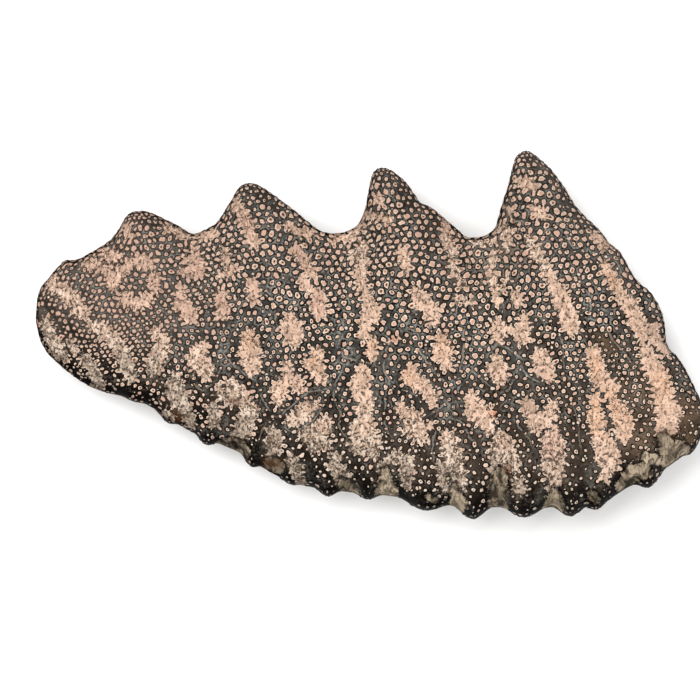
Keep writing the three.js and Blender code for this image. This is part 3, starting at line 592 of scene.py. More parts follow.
def layTubules(style):
    # dot (i, j) stands at spacing * (i + half of odd j, 0.866 j), strays at random, is drawn closer towards
    # the back end and is moved by the bend
    reach = int(style["laidTo"] / style["spacing"])
    row, column = np.meshgrid(np.arange(-reach, reach), np.arange(-reach, reach), indexing="ij")
    astray = style["stray"] * np.sqrt(scatter(column, row, 1))
    turn = 2 * math.pi * scatter(column, row, 2)
    x = style["spacing"] * (column + 0.5 * (row % 2) + astray * np.cos(turn))
    y = style["spacing"] * (rowStep * row + astray * np.sin(turn))
    scale, even = evenScale(style)
    x = np.interp(x, even, scale)
    y = y * spacingShare(x, style)
    bendX, bendY = bendAt(x, y, style)
    return {"reach": reach, **shapeTubules(x + bendX, y + bendY, row, column, style)}


def shapeTubules(x, y, row, column, style):
    # dots grow towards the cusps and in the middle of the face, and shrink in the dark places and around the
    # patches. Beside a patch a dot is drawn out along the slope of the patch's depth, elsewhere along an axis
    # of its own
    depth, slopeX, slopeY = patchSlope(x, y)
    above = aboveFoldedEdge(x, y)
    rimward = within(above, "dotsSmallRim")
    radius = style["radius"] * (1 + style["radiusSpread"] * (scatter(column, row, 4) - 0.5))
    radius *= np.clip(1 + style["swell"] * (y - style["lean"] * x), style["least"], style["most"])
    flank = within(depthInside(cuspFlanks, x, y), "dotsDarkFlank")
    shrink = np.maximum(style["rimDark"] * within(above, "dotsDarkRim"), flank)
    shrink = np.maximum(shrink, style["backDark"] * within(x, "dotsDarkBack"))
    radius *= 1 - style["darkShrink"] * shrink
    ring = within(depth, "dotsRing") * within(depth, "dotsRingEnd")
    radius *= 1 - style["ringShrink"] * ring * (1 - shrink) * within(y, "dotsRingLow")
    radius *= 1 + style["middleGrowth"] * within(x, "dotsGrowFront") * within(above, "dotsGrowFace")
    vary = style["rimSpread"] * within(above, "dotsVaryRim")
    radius *= 1 + vary * (scatter(column, row, 9) - style["rimMean"])
    few = style["smallShare"] + (style["smallShareRim"] - style["smallShare"]) * rimward
    small = style["small"] + (style["smallRim"] - style["small"]) * rimward
    radius = np.where(scatter(column, row, 3) < few, small * radius, radius)
    near = np.exp(-(np.minimum(depth, 0) / style["fringeReach"]) ** 2)
    stretch = 1 + (style["stretch"] - 1) * scatter(column, row, 5)
    stretch += (style["fringeStretch"] - stretch) * near
    axis = np.where(near > style["fringeTurn"], np.arctan2(slopeY, slopeX), math.pi * scatter(column, row, 6))
    kind = scatter(column, row, 8)
    return {"x": x, "y": y, "radius": radius, "stretch": stretch, "axis": axis, "kind": kind}


def tubulesAt(x, y, tubules, style):
    # each dot around gives one half to the power (distance / radius) squared: the greatest of them less a
    # share of the second greatest, which keeps dots apart; the kind of the nearest; and the wall between the
    # two. The dots around are found by taking the bend off the place in two steps
    evenX, evenY = x, y
    for again in range(2):
        bendX, bendY = bendAt(evenX, evenY, style)
        evenX, evenY = x - bendX, y - bendY
    scale, even = evenScale(style)
    evenY = evenY / spacingShare(evenX, style)
    evenX = np.interp(evenX, scale, even)
    best = np.zeros_like(x)
    second = np.zeros_like(x)
    kind = np.zeros_like(x)
    bestSpot = np.zeros((*x.shape, 2))
    secondSpot = np.zeros((*x.shape, 2))
    reach = tubules["reach"]
    for up in range(-2, 3):
        row = np.rint(evenY / (style["spacing"] * rowStep)).astype(int) + up
        for over in range(-2, 3):
            column = np.rint(evenX / style["spacing"] - 0.5 * (row % 2)).astype(int) + over
            at = (np.clip(row + reach, 0, 2 * reach - 1), np.clip(column + reach, 0, 2 * reach - 1))
            spot = np.stack([tubules["x"][at], tubules["y"][at]], -1)
            dx = x - tubules["x"][at]
            dy = y - tubules["y"][at]
            axis = tubules["axis"][at]
            draw = np.sqrt(tubules["stretch"][at])
            along = (dx * np.cos(axis) + dy * np.sin(axis)) / draw
            across = (dy * np.cos(axis) - dx * np.sin(axis)) * draw
            part = 0.5 ** ((along * along + across * across) / tubules["radius"][at] ** 2)
            nearer = part > best
            kind = np.where(nearer, tubules["kind"][at], kind)
            secondSpot = np.where((part > second)[..., None], spot, secondSpot)
            secondSpot = np.where(nearer[..., None], bestSpot, secondSpot)
            bestSpot = np.where(nearer[..., None], spot, bestSpot)
            second = np.maximum(second, np.minimum(best, part))
            best = np.maximum(best, part)
    return best - style["apart"] * second, kind, wallBetween(bestSpot, secondSpot)


def wallBetween(first, second, slant=1.7):
    # the plane that is nought half way between two places: normal . place - normal . half way; the normal
    # always points the same way round, so that it doesn't jump between neighbours
    normal = second - first
    normal /= np.maximum(np.hypot(normal[..., 0], normal[..., 1]), 1e-6)[..., None]
    normal *= np.where(normal[..., 0] + slant * normal[..., 1] < 0, -1, 1)[..., None]
    half = (second + first) / 2
    return normal[..., 0], normal[..., 1], -(half * normal).sum(-1)


# the plate's surface: upright sections along the length, each a loop over the face and back underneath
plateGrid = {
    "sections": 466,
    "samples": 24001,         # places along the plate where its width and climb are measured
    "rollRows": 22,           # rows over each rolled edge of the face
    "faceRows": 122,          # rows across the rest of the face
    "tuckRows": 13,           # rows over each tucked edge of the underside
    "baseRows": 14,
    "edgeShare": 0.3,         # most of a section's width that one rounded edge takes
    "climbWeight": 0.55,      # how strongly sections gather where the outline climbs
    "widthWeight": 0.5,       # and where the plate is wide
}


def edgesAt(x):
    # where the cusped edge and the folded edge run
    return np.interp(x, cuspedLine[:, 0], cuspedLine[:, 1]), np.interp(x, foldedLine[:, 0], foldedLine[:, 1])


def sectionPlaces(grid):
    # sections stand at equal steps of the summed length of run, climb and fall, weighted by the plate's width
    x = np.linspace(outline[:, 0].min(), outline[:, 0].max(), grid["samples"])
    top, foot = edgesAt(x)
    climb = grid["climbWeight"] * np.diff(top)
    fall = grid["climbWeight"] * np.diff(foot)
    width = np.maximum(top - foot, 1.0)
    step = np.sqrt(np.diff(x) ** 2 + climb ** 2 + fall ** 2) * width[1:] ** grid["widthWeight"]
    summed = np.concatenate([[0], np.cumsum(step)])
    return np.interp(np.linspace(0, summed[-1], grid["sections"] + 2)[1:-1], summed, x)


def acrossPlaces(low, high, span, endRows, midRows):
    # from low to high: span * (1 - cos) over each rounded edge, and even steps between them
    turn = np.linspace(0, math.pi / 2, endRows + 1)[None, :]
    edge = span * (1 - np.cos(turn))
    share = np.linspace(0, 1, midRows + 1)[None, 1:-1]
    middleRows = low + span + share * (high - low - 2 * span)
    return np.hstack([low + edge, middleRows, (high - edge)[:, ::-1]])


def plateLoops(grid):
    # x, y of every point, and 1 where it is on the underside: a loop runs up over the face and back below
    x = sectionPlaces(grid)[:, None]
    top, foot = edgesAt(x)
    most = grid["edgeShare"] * (top - foot)
    faceSpan = np.minimum(plateShape["rollWidth"], most)
    baseSpan = np.minimum(plateShape["baseInset"], most)
    faceY = acrossPlaces(foot, top, faceSpan, grid["rollRows"], grid["faceRows"])
    baseY = acrossPlaces(foot, top, baseSpan, grid["tuckRows"], grid["baseRows"])
    y = np.hstack([faceY, baseY[:, -2:0:-1]])
    under = np.hstack([np.zeros_like(faceY), np.ones_like(baseY[:, 2:])])
    return np.broadcast_to(x, y.shape).copy(), y, under


def nearestOnOutline(x, y, batch=2000):
    # the least distance to any stretch of the outline, and the direction from each place out over the edge
    run = np.roll(outline, -1, 0) - outline
    size = np.maximum((run * run).sum(1), 1e-12)
    outward = np.stack([-run[:, 1], run[:, 0]], 1) / np.sqrt(size)[:, None]
    distance = np.empty(x.size)
    spot = np.empty((x.size, 2))
    facing = np.empty((x.size, 2))
    flatX, flatY = x.ravel(), y.ravel()
    for first in range(0, x.size, batch):
        part = slice(first, first + batch)
        dx = flatX[part, None] - outline[:, 0]
        dy = flatY[part, None] - outline[:, 1]
        share = np.clip((dx * run[:, 0] + dy * run[:, 1]) / size, 0, 1)
        gap = (dx - share * run[:, 0]) ** 2 + (dy - share * run[:, 1]) ** 2
        least = gap.argmin(1)
        distance[part] = np.sqrt(gap[np.arange(len(least)), least])
        spot[part] = outline[least] + share[np.arange(len(least)), least][:, None] * run[least]
        facing[part] = outward[least]
    distance, spot, facing = distance.reshape(x.shape), spot.reshape(*x.shape, 2), facing.reshape(*x.shape, 2)
    away = (spot - np.stack([x, y], -1)) / np.maximum(distance, 1e-6)[..., None]
    away = np.where((distance > 1e-3)[..., None], away, facing)
    return distance, away[..., 0], away[..., 1]


def excessBeyond(distance, width, height, samples=400):
    # the length of the rolled surface from the distance to the full width, less the distance itself
    table = np.linspace(0, 1, samples) ** 2 * width
    rise = height * roundOver(table, width)
    length = np.concatenate([[0], np.cumsum(np.hypot(np.diff(table), np.diff(rise)))])
    excess = (length[-1] - length) - (width - table)
    return np.interp(distance, table, excess)


# how much each zone and ripple counts in a tone; the least shares count where their zone is nought
toneShares = {
    "warmFront": 0.5, "warmRipples": 0.18, "warmLength": 5.0,
    "darkFlank": 0.9, "shadedRim": 0.9, "brownLeast": 0.45, "brownFront": 0.55,
    "ringRipples": 0.12, "ringLength": 2.2, "ringLeast": 0.28, "ringLow": 0.44, "ringBack": 0.35,
    "looseRim": 0.8, "looseLeast": 0.5, "looseFront": 0.5,
    "dulledTips": 0.5, "crackedFront": 0.2, "hollowTone": 0.09,
}


def tonesAt(x, y, patch, distance):
    # the fields that turn one tone of the finish into another, from 0 to 1: sums, products and greatest of
    # zones, spots and ripples
    above = aboveFoldedEdge(x, y)
    share = toneShares
    warm = within(above, "warmRim") + share["warmFront"] * within(x - y, "warmFront")
    warm = warm + share["warmRipples"] * ripples(x, y, share["warmLength"], 23)
    dark = np.maximum(within(depthInside(darkBands, x, y), "darkBand"), within(above, "darkRim"))
    # the cusps' tips and front flanks darken partly as painted shade
    dark = np.maximum(dark, share["darkFlank"] * within(depthInside(cuspFlanks, x, y), "darkFlank"))
    ring = within(patch + share["ringRipples"] * ripples(x, y, share["ringLength"], 24), "ring")
    ring *= share["ringLeast"] + share["ringLow"] * within(y, "ringLow")
    ring *= 1 - share["ringBack"] * within(x, "ringBack") * within(y, "ringCusps")
    frosted = spotsAt(frostSpots, x, y)
    looseFront = share["looseLeast"] + share["looseFront"] * within(x, "looseFront")
    looseRim = share["looseRim"] * within(above, "looseRim") * within(x, "looseBack")
    brownFront = share["brownLeast"] + share["brownFront"] * within(x, "brownFront")
    hollowTone = spotsAt(paleHollows, x, y) - spotsAt(dimHollows, x, y)
    return {
        "warmth": warm.clip(0, 1),
        "darkness": np.maximum(dark, ring),
        "brownish": within(above, "brownRim") * brownFront,
        "ashen": within(above, "ashenRim") * within(x, "ashenBack"),
        "orange": spotsAt(orangeSpots, x, y),
        "rosy": spotsAt(rosySpots, x, y),
        "rust": spotsAt(rustSpots, x, y),
        "tan": spotsAt(tanSpots, x, y),
        "frosted": frosted,
        "weathered": np.maximum(within(above, "weatheredRim") * within(x, "weatheredBack"), frosted),
        "loosened": np.maximum(looseRim, within(y, "looseCusps") * looseFront),
        # dots in the dark places near the folded edge are whitened as painted highlight
        "bleached": dark * within(above, "highlitRim") * within(x, "highlitFront"),
        "dulled": np.maximum(within(x, "dulledBack") * within(y, "dulledCusps"),
                             share["dulledTips"] * within(y, "dulledTips")),
        "cracked": 1 - share["crackedFront"] * within(x, "crackedFront"),
        # painted shade: darker along the outline and over the folded edge, where the face rolls away from the
        # light
        "edgeShade": np.maximum(within(distance, "shadedEdge"),
                                share["shadedRim"] * within(above, "shadedRim")),
        "hollowTone": share["hollowTone"] * hollowTone,
    }


marksRelief = {
    "dotRise": 0.06, "rimKnobs": 0.05, "patchDip": 0.08, "hollowDip": 0.5,
    "patchSwell": 0.04,       # how much deeper the patches count in the middle of the face
    "unevenness": 0.05, "unevenLength": 3.0,
    "baseDish": 0.2, "dishEdge": 3.0, "dishLength": 6.0, "dishRipples": 0.5,
    "fringeShift": 0.8,       # how far the fringe's noise is drawn out across a patch's margin
    "veinReach": 0.5,
}


def plateSurface(grid):
    # face: rim + crown * roll + dome * (1 - exp(-distance / width)) + relief * roll, with the marks' own
    # relief; underside: rim * (1 - roll), dished upward in the middle
    x, y, under = plateLoops(grid)
    distance, outX, outY = nearestOnOutline(x, y)
    front = smoothStep(x, outline[:, 0].min(), outline[:, 0].max())
    rim = plateShape["rimBack"] + front * (plateShape["rimFront"] - plateShape["rimBack"])
    crown = plateShape["crownBack"] + front * (plateShape["crownFront"] - plateShape["crownBack"])
    roll = roundOver(distance, plateShape["rollWidth"])
    dome = plateShape["domeRise"] * (1 - np.exp(-distance / plateShape["domeWidth"]))
    top = rim + crown * roll + dome + reliefAt(x, y) * roll

    # where the grain lies: the place pushed out by the extra length of the rolled surface
    typical = (plateShape["crownBack"] + plateShape["crownFront"]) / 2
    excess = excessBeyond(distance, plateShape["rollWidth"], typical)
    grainX, grainY = x + outX * excess, y + outY * excess
    tubules = layTubules(tubuleStyle)
    wave, kind, wall = tubulesAt(grainX, grainY, tubules, tubuleStyle)
    waveX = (tubulesAt(grainX + nudge, grainY, tubules, tubuleStyle)[0] - wave) / nudge
    waveY = (tubulesAt(grainX, grainY + nudge, tubules, tubuleStyle)[0] - wave) / nudge

    patch, slopeX, slopeY = patchSlope(x, y)
    patch += marksRelief["patchSwell"] * within(y, "swollenLow") * within(x, "swollenFront")
    hollow = depthInside(smoothHollows, x, y)
    raised = within(wave, "raisedWave") * (1 - within(patch, "sunkPatch"))
    top += marksRelief["dotRise"] * raised
    top -= marksRelief["patchDip"] * within(patch, "dippedPatch")
    top -= marksRelief["hollowDip"] * within(hollow, "dippedHollow")
    top += marksRelief["unevenness"] * roll * ripples(x, y, marksRelief["unevenLength"], 21)
    knob = marksRelief["rimKnobs"] * raised * within(distance, "knobEdge") * within(hollow, "knobHollow")
    base = rim * (1 - roundOver(distance, plateShape["baseInset"]))
    dish = smoothStep(distance, plateShape["baseInset"], plateShape["baseInset"] + marksRelief["dishEdge"])
    uneven = (1 + marksRelief["dishRipples"] * ripples(x, y, marksRelief["dishLength"], 22)).clip(0, 2)
    base += marksRelief["baseDish"] * dish * uneven
    z = np.where(under > 0, base, top)

    veinSide, veinShow = besidePaths(highlightLines, x, y, marksRelief["veinReach"])
    shift = marksRelief["fringeShift"] * patch
    fields = {
        "grainPlace": (grainX, grainY, np.ones_like(x)),
        "grainWave": (waveX / 2, waveY / 2, wave - (waveX * grainX + waveY * grainY) / 2),
        "grainWall": wall,
        "fringePlace": (x - shift * slopeX, y - shift * slopeY, np.zeros_like(x)),
        "patchDepth": patch,
        "hollowDepth": hollow,
        "stainDepth": depthInside(brownStains, x, y),
        "dotKind": kind,
        "veinSide": veinSide,
        "veinShow": veinShow,
        "belowRim": rim - z,
        **tonesAt(x, y, patch, distance),
    }
    places = np.stack([x + outX * knob - middle[0], y + outY * knob - middle[1], z], -1)
    return places, fields


def loopMesh(name, places):
    # quads between neighbouring loops, and a fan from a pole to the first and last loop; the poles lie one
    # step beyond them, at the plate's two ends
    sections, around = places.shape[:2]
    count = sections * around
    ahead = np.arange(sections - 1)[:, None] * around
    here = np.arange(around)[None, :]
    following = (here + 1) % around
    quads = np.stack([ahead + here, ahead + around + here, ahead + around + following, ahead + following], -1)
    quads = quads.reshape(-1, 4)
    last = (sections - 1) * around
    backFan = np.stack([np.full(around, count), here[0], following[0]], -1)
    frontFan = np.stack([np.full(around, count + 1), last + following[0], last + here[0]], -1)
    backPole = [outline[:, 0].min() - middle[0], cuspedEdge[0][1] - middle[1], plateShape["rimBack"]]
    frontPole = [outline[:, 0].max() - middle[0], cuspedEdge[-1][1] - middle[1], plateShape["rimFront"]]
    points = np.vstack([places.reshape(-1, 3), [backPole, frontPole]]) * mm
    mesh = bpy.data.meshes.new(name)
    mesh.from_pydata(points, [], [*quads.tolist(), *backFan.tolist(), *frontFan.tolist()])
    mesh.shade_smooth()
    return mesh


def storeField(mesh, name, field):
    # a field over the loops becomes a point attribute; each pole takes the value of the loop beside it
    parts = field if isinstance(field, tuple) else (field,)
    values = np.stack(parts, -1)
    ends = np.stack([values[0, 0], values[-1, 0]])
    values = np.vstack([values.reshape(-1, len(parts)), ends]).astype(np.float32)
    kind = "FLOAT_VECTOR" if len(parts) == 3 else "FLOAT"
    attribute = mesh.attributes.new(name, kind, "POINT")
    attribute.data.foreach_set("vector" if len(parts) == 3 else "value", values.ravel())


places, fields = plateSurface(plateGrid)
plateMesh = loopMesh("toothPlate", places)
for name, field in fields.items():
    storeField(plateMesh, name, field)
toothPlate = bpy.data.objects.new("toothPlate", plateMesh)
bpy.context.scene.collection.objects.link(toothPlate)
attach(toothPlate, "root")
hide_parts("tooth_plate")
print("tooth plate made:", len(plateMesh.vertices), "points")

# the finish, in shades from 0 to 255 as seen under the studio's light
studioBrightness = 1.3    # how far the light lifts a white card past white
finish = {
    # the ground between the dots, the lines in it and the dark surrounds of the dots; the near-black ground
    # also paints shade along the edge and in the hollows' crevices
    "coolGround": (69, 69, 67), "warmGround": (60, 51, 43), "darkGroundAndShade": (8, 5, 4),
    "brownGround": (66, 55, 46), "haze": (104, 101, 95), "margin": (104, 89, 74), "mist": (132, 119, 106),
    # the pale and warm line colours paint highlights on raised walls and ridges
    "tan": (106, 84, 65), "paleLineHighlight": (144, 140, 132), "warmLineHighlight": (114, 102, 88),
    "halo": (19, 17, 15), "haloDull": (54, 47, 41), "gap": (104, 90, 76),
    # the dots
    "dot": (238, 216, 196), "dotHeart": (202, 160, 134), "dotPit": (84, 56, 44), "dotDull": (196, 160, 141),
    # a pale dot colour that paints highlights in the dark places near the folded edge
    "dotHighlight": (232, 216, 198),
    # the patches
    "peach": (215, 181, 158), "orange": (220, 177, 147), "rosy": (208, 169, 150), "ashen": (170, 153, 136),
    "skinDull": (196, 166, 146), "rust": (196, 124, 88), "rim": (112, 91, 74), "fleck": (158, 132, 112),
    "crack": (76, 63, 52), "light": (240, 205, 181), "frost": (246, 226, 206),
    # the hollows, the stains and the bone
    "hollow": (135, 121, 102), "hollowDark": (56, 50, 42), "hollowPale": (190, 171, 147),
    "stain": (96, 62, 38), "bone": (122, 108, 90), "boneDark": (84, 72, 59), "bonePale": (150, 135, 114),
    "bonePore": (40, 33, 27),
}

# noise: cells for each mm, and for some the detail, roughness and twist
noise = {
    "tremble": (3.2,), "fine": (6.0,), "lobes": (4.2, 1.0), "slowLobes": (1.3, 1.0), "loose": (1.5,),
    "ragged": (3.6,), "veinGaps": (1.7,), "veinBends": (2.6,), "mottle": (5.0, 2.0, 0.6, 0.6),
    "slowMottle": (0.8, 3.0), "margin": (7.0,), "blotches": (0.9,), "webGaps": (1.1,),
    "strokes": (3.4, 2.0, 0.6, 0.8), "specks": (5.5, 1.0, 0.6), "paleSpecks": (3.9, 2.0, 0.5, 1.2),
    "marbling": (1.0, 2.0, 0.5, 1.6), "hollowStrokes": (1.5, 2.0, 0.6, 1.0),
    "boneStreaks": (2.2, 5.0, 0.6), "boneClouds": (0.5, 4.0, 0.6), "boneMargin": (0.4, 4.0),
}

# how noise is drawn out: its scale along x, y and z
drawnOut = {
    "strokes": (1.0, 0.6, 1.0), "cells": (1.0, 0.65, 1.0), "hollows": (1.0, 0.5, 1.0),
    "bone": (1 / mm, 1 / mm, 1 / mm), "boneStreaks": (1 / mm, 1 / mm, 0.22 / mm),
}

# where each mark begins and where it is full
steps = {
    "patch": (-0.06, 0.05), "inner": (-0.1, 0.1), "loose": (-0.14, 0.06), "halo": (0.1, 0.27),
    "free": (0.16, 0.06), "freeOfPatches": (0.0, -0.2), "veinGaps": (-0.1, 0.08), "course": (0.2, 0.1),
    "vein": (0.085, 0.035), "haze": (-0.1, 0.3), "tan": (-0.3, 0.15), "mist": (-0.25, 0.15),
    "margin": (-0.45, 0.0), "blotches": (-0.1, 0.1), "darkMottle": (-0.05, 0.3), "webShown": (-0.15, 0.07),
    "web": (0.075, 0.025), "gap": (-0.05, 0.12), "heart": (0.62, 0.84), "tired": (0.55, 0.95),
    "pit": (0.86, 0.95), "pitted": (0.5, 0.3), "seam": (0.07, 0.02), "seamShown": (-0.14, 0.08),
    "strokes": (0.03, 0.12), "darkCells": (0.4, 0.1), "paleCells": (0.6, 0.95), "broken": (-0.04, 0.06),
    "groove": (0.14, 0.03), "cobbled": (0.3, 0.0), "paleSpecks": (0.0, 0.1), "pores": (0.08, 0.16),
    "edge": (0.25, 0.8), "hollow": (-0.14, 0.02), "hollowDark": (-0.16, 0.0), "hollowPale": (0.0, 0.16),
    "hollowStrokes": (0.045, 0.01), "crevice": (-0.36, -0.16), "stain": (-0.2, 0.3), "grain": (1.15, 0.75),
    "surround": (2.2, 1.2), "boneStreaks": (-0.14, 0.12), "boneClouds": (0.0, 0.2), "boneShown": (0.15, 0.3),
    "boneMargin": (-0.2, 0.1),
}

# how one mark turns with another: what the other adds where it is full, and what there is without it
turns = {
    "mergedLift": (-0.24, 0.72), "fillFrom": (-0.09, 0.46), "fillTo": (0.09, 0.58),
    "veinInDark": (-0.2, 0.9), "marginDulled": (0.7, 0.1), "brownBlotches": (0.35, 0.65),
    "darkMottle": (-0.5, 0.95), "webInDark": (-0.35, 0.9), "webDulled": (-0.25, 1.0),
    "weatheredRosy": (-0.6, 1.0), "seamLoose": (0.45, 0.4), "cellsRosy": (-0.5, 1.0),
    "grooveWeathered": (0.15, 0.85), "specksWeathered": (-0.06, 0.06), "paleAshen": (-0.4, 0.8),
    "edgeOnDots": (-0.6, 1.0), "roughDots": (0.16, 0.34),
}

# how strongly each mark counts, and how strongly the fine grain counts in it
weights = {
    "tremble": 0.38, "patchInset": 0.03, "slowLobes": 0.4, "lobes": 1.1, "ragged": 0.55, "veinBends": 0.3,
    "course": -0.4, "mottle": 0.8, "margin": 0.9, "webInDark": -0.12, "darkCells": 0.4, "paleCells": 0.45,
    "brokenWeathered": 0.05, "cobbled": 0.5, "hollowStreak": 0.6, "boneMargin": 3.2, "boneStreaks": 0.6,
    "boneRough": 0.3, "pitting": -0.7, "dotPits": -0.6, "bonePores": -1.5, "boneRidges": 4.0,
}
fineWeights = {
    "patch": 0.3, "level": 0.5, "vein": 0.2, "wall": 0.25, "edge": 1.4, "hollow": 0.5, "marbling": 0.25,
    "stain": 0.8, "rough": 0.4, "height": 0.8,
}

# small round grains: cells for each mm, radius, and the share of the cells that hold one
grainKinds = {"tinyDots": (2.1, 0.17, 0.45), "bonePores": (1.5, 0.2, 0.4)}
leastGrain = 0.6          # the smallest grains' share of the radius
cellsPerMm = 2.7          # of the cracked skin on the patches
glint = 0.005
bumpStyle = {"Strength": 0.9, "Distance": 0.1 * mm}


def paint(red, green, blue):
    # shades from 0 to 255 become the share of light that the surface returns:
    # ((shade / 255 + 0.055) / 1.055) to the power 2.4, over the brightness of the light
    return tuple(((shade / 255 + 0.055) / 1.055) ** 2.4 / studioBrightness for shade in (red, green, blue))


def plug(value, socket):
    # a node's output is linked, a name stands for its colour in the finish, anything else is set as it is
    if isinstance(value, bpy.types.NodeSocket):
        socket.id_data.links.new(value, socket)
    elif isinstance(value, str):
        socket.default_value = (*paint(*finish[value]), 1.0)
    else:
        socket.default_value = value


def newNode(near, kind, inputs, **settings):
    # a node in the tree of the socket near, with its settings made and its inputs plugged by name or number
    node = near.id_data.nodes.new(kind)
    for name, value in settings.items():
        setattr(node, name, value)
    for name, value in inputs.items():
        plug(value, node.inputs[name])
    return node


def sums(operation, first, second=0.0, third=0.0):
    # one sum of up to three values, by the name of its operation
    return newNode(first, "ShaderNodeMath", {0: first, 1: second, 2: third}, operation=operation).outputs[0]


def times(first, second):
    # first * second
    return sums("MULTIPLY", first, second)


def scaled(value, factor, base):
    # value * factor + base
    return sums("MULTIPLY_ADD", value, factor, base)


def turned(value, name):
    # value * what it adds + what there is without it
    return scaled(value, *turns[name])


def grained(marks, name, value):
    # the fine grain * its weight in the mark of that name + value
    return scaled(marks.fine, fineWeights[name], value)


def between(value, low, high):
    # 0 below low and 1 above high, with a smooth step from one to the other
    inputs = {"Value": value, "From Min": low, "From Max": high}
    return newNode(value, "ShaderNodeMapRange", inputs, interpolation_type="SMOOTHSTEP").outputs["Result"]


def stepped(value, name):
    # a smooth step from where the mark begins to where it is full
    return between(value, *steps[name])


def blend(share, first, second):
    # first where the share is 0 and second where it is 1
    inputs = {"Factor": share, 6: first, 7: second}
    return newNode(share, "ShaderNodeMix", inputs, data_type="RGBA").outputs[2]


def layered(colour, *coats):
    # coats over a colour: each has a share, a colour and for some the strength with which it is laid on
    for share, coat, *strength in coats:
        colour = blend(times(share, *strength) if strength else share, colour, coat)
    return colour


def fieldAt(tree, name, part):
    # a field kept on the mesh, as a number or as a vector
    node = tree.nodes.new("ShaderNodeAttribute")
    node.attribute_name = name
    return node.outputs[part]


def noiseNode(place, scale, detail=2.0, rough=0.5, twist=0.0):
    # fractal noise with so many cells for each mm
    inputs = {"Vector": place, "Scale": scale, "Detail": detail, "Roughness": rough, "Distortion": twist}
    return newNode(place, "ShaderNodeTexNoise", inputs)


def cloud(place, name):
    # fractal noise, centred on nought
    return sums("SUBTRACT", noiseNode(place, *noise[name]).outputs["Fac"], 0.5)


def clouded(place, name, value):
    # noise * its weight + value
    return scaled(cloud(place, name), weights[name], value)


def patchy(place, name):
    # noise turned into soft-edged patches of 0 and 1
    return stepped(cloud(place, name), name)


def stretched(place, name):
    # the place * its scale along x, y and z, which draws out the noise laid on it
    return newNode(place, "ShaderNodeMapping", {"Vector": place, "Scale": drawnOut[name]}).outputs["Vector"]


def addWaves(marks):
    # the dots' wave and the wall half way between dots: the vectors kept for them, multiplied by a place that
    # trembles, which makes the dots angular
    place, reach = marks.grainPlace, weights["tremble"]
    tremble = noiseNode(place, *noise["tremble"]).outputs["Color"]
    inputs = {0: tremble, 1: (reach, reach, 0.0), 2: (-reach / 2, -reach / 2, 0.0)}
    shift = newNode(place, "ShaderNodeVectorMath", inputs, operation="MULTIPLY_ADD").outputs["Vector"]
    marks.shaken = newNode(place, "ShaderNodeVectorMath", {0: place, 1: shift}).outputs["Vector"]
    for name, vector in (("dots", marks.grainWave), ("wall", marks.grainWall)):
        node = newNode(place, "ShaderNodeVectorMath", {0: marks.shaken, 1: vector}, operation="DOT_PRODUCT")
        setattr(marks, name, node.outputs["Value"])
    marks.offWall = sums("ABSOLUTE", grained(marks, "wall", marks.wall))


def cobbles(place):
    # angular cells with random tones: how far a place is from the nearest border, and the tone of its cell
    inputs = {"Vector": place, "Scale": cellsPerMm}
    edges = newNode(place, "ShaderNodeTexVoronoi", inputs, feature="DISTANCE_TO_EDGE")
    cells = newNode(place, "ShaderNodeTexVoronoi", inputs)
    split = newNode(place, "ShaderNodeSeparateColor", {0: cells.outputs["Color"]})
    return edges.outputs["Distance"], split.outputs[0]


def grains(place, name):
    # small round grains scattered one to a cell, in a share of the cells: their cover and their dark surround
    scale, radius, share = grainKinds[name]
    node = newNode(place, "ShaderNodeTexVoronoi", {"Vector": place, "Scale": scale})
    split = newNode(place, "ShaderNodeSeparateColor", {0: node.outputs["Color"]})
    kept = sums("LESS_THAN", split.outputs[0], share)
    size = scaled(split.outputs[1], radius, leastGrain * radius)
    ratio = sums("DIVIDE", node.outputs["Distance"], size)
    return times(stepped(ratio, "grain"), kept), times(stepped(ratio, "surround"), kept)


def newMaterial(name):
    # a material, and the shader that its colour, roughness and normal go into
    material = bpy.data.materials.new(name)
    material.use_nodes = True
    return material, material.node_tree.nodes["Principled BSDF"]


def addDepth(marks):
    # the depth inside the patches less an inset, plus slow lobes, lobes that run across the margin and fine
    # grain
    depth = sums("SUBTRACT", marks.patchDepth, weights["patchInset"])
    depth = scaled(marks.slowLobes, weights["slowLobes"], depth)
    depth = clouded(marks.fringePlace, "lobes", depth)
    marks.depth = grained(marks, "patch", depth)


def addLevels(marks):
    # level: the dots' wave + the lift inside patches, which merges the dots, + ragged noise + fine grain,
    # less the courses of the painted highlight lines. The dots' cover is a step up of the level, and their
    # surround one lower down
    place = marks.grainPlace
    marks.loose = times(marks.loosened, patchy(place, "loose"))
    level = scaled(stepped(marks.depth, "patch"), turned(marks.loose, "mergedLift"), marks.dots)
    level = grained(marks, "level", clouded(place, "ragged", level))
    shown = times(marks.veinShow, patchy(place, "veinGaps"))
    winding = clouded(place, "veinBends", marks.veinSide)
    offHighlightLine = sums("ABSOLUTE", grained(marks, "vein", winding))
    marks.course = times(stepped(offHighlightLine, "course"), shown)
    level = scaled(marks.course, weights["course"], level)
    # pale lines painted as highlights along raised ridges
    marks.vein = times(times(stepped(offHighlightLine, "vein"), shown), turned(marks.darkness, "veinInDark"))
    marks.fill = between(level, turned(marks.dulled, "fillFrom"), turned(marks.dulled, "fillTo"))
    tiny, tinySurround = grains(place, "tinyDots")
    free = times(stepped(level, "free"), stepped(marks.depth, "freeOfPatches"))
    marks.tiny = times(tiny, free)
    marks.halo = sums("MAXIMUM", stepped(level, "halo"), times(tinySurround, free))


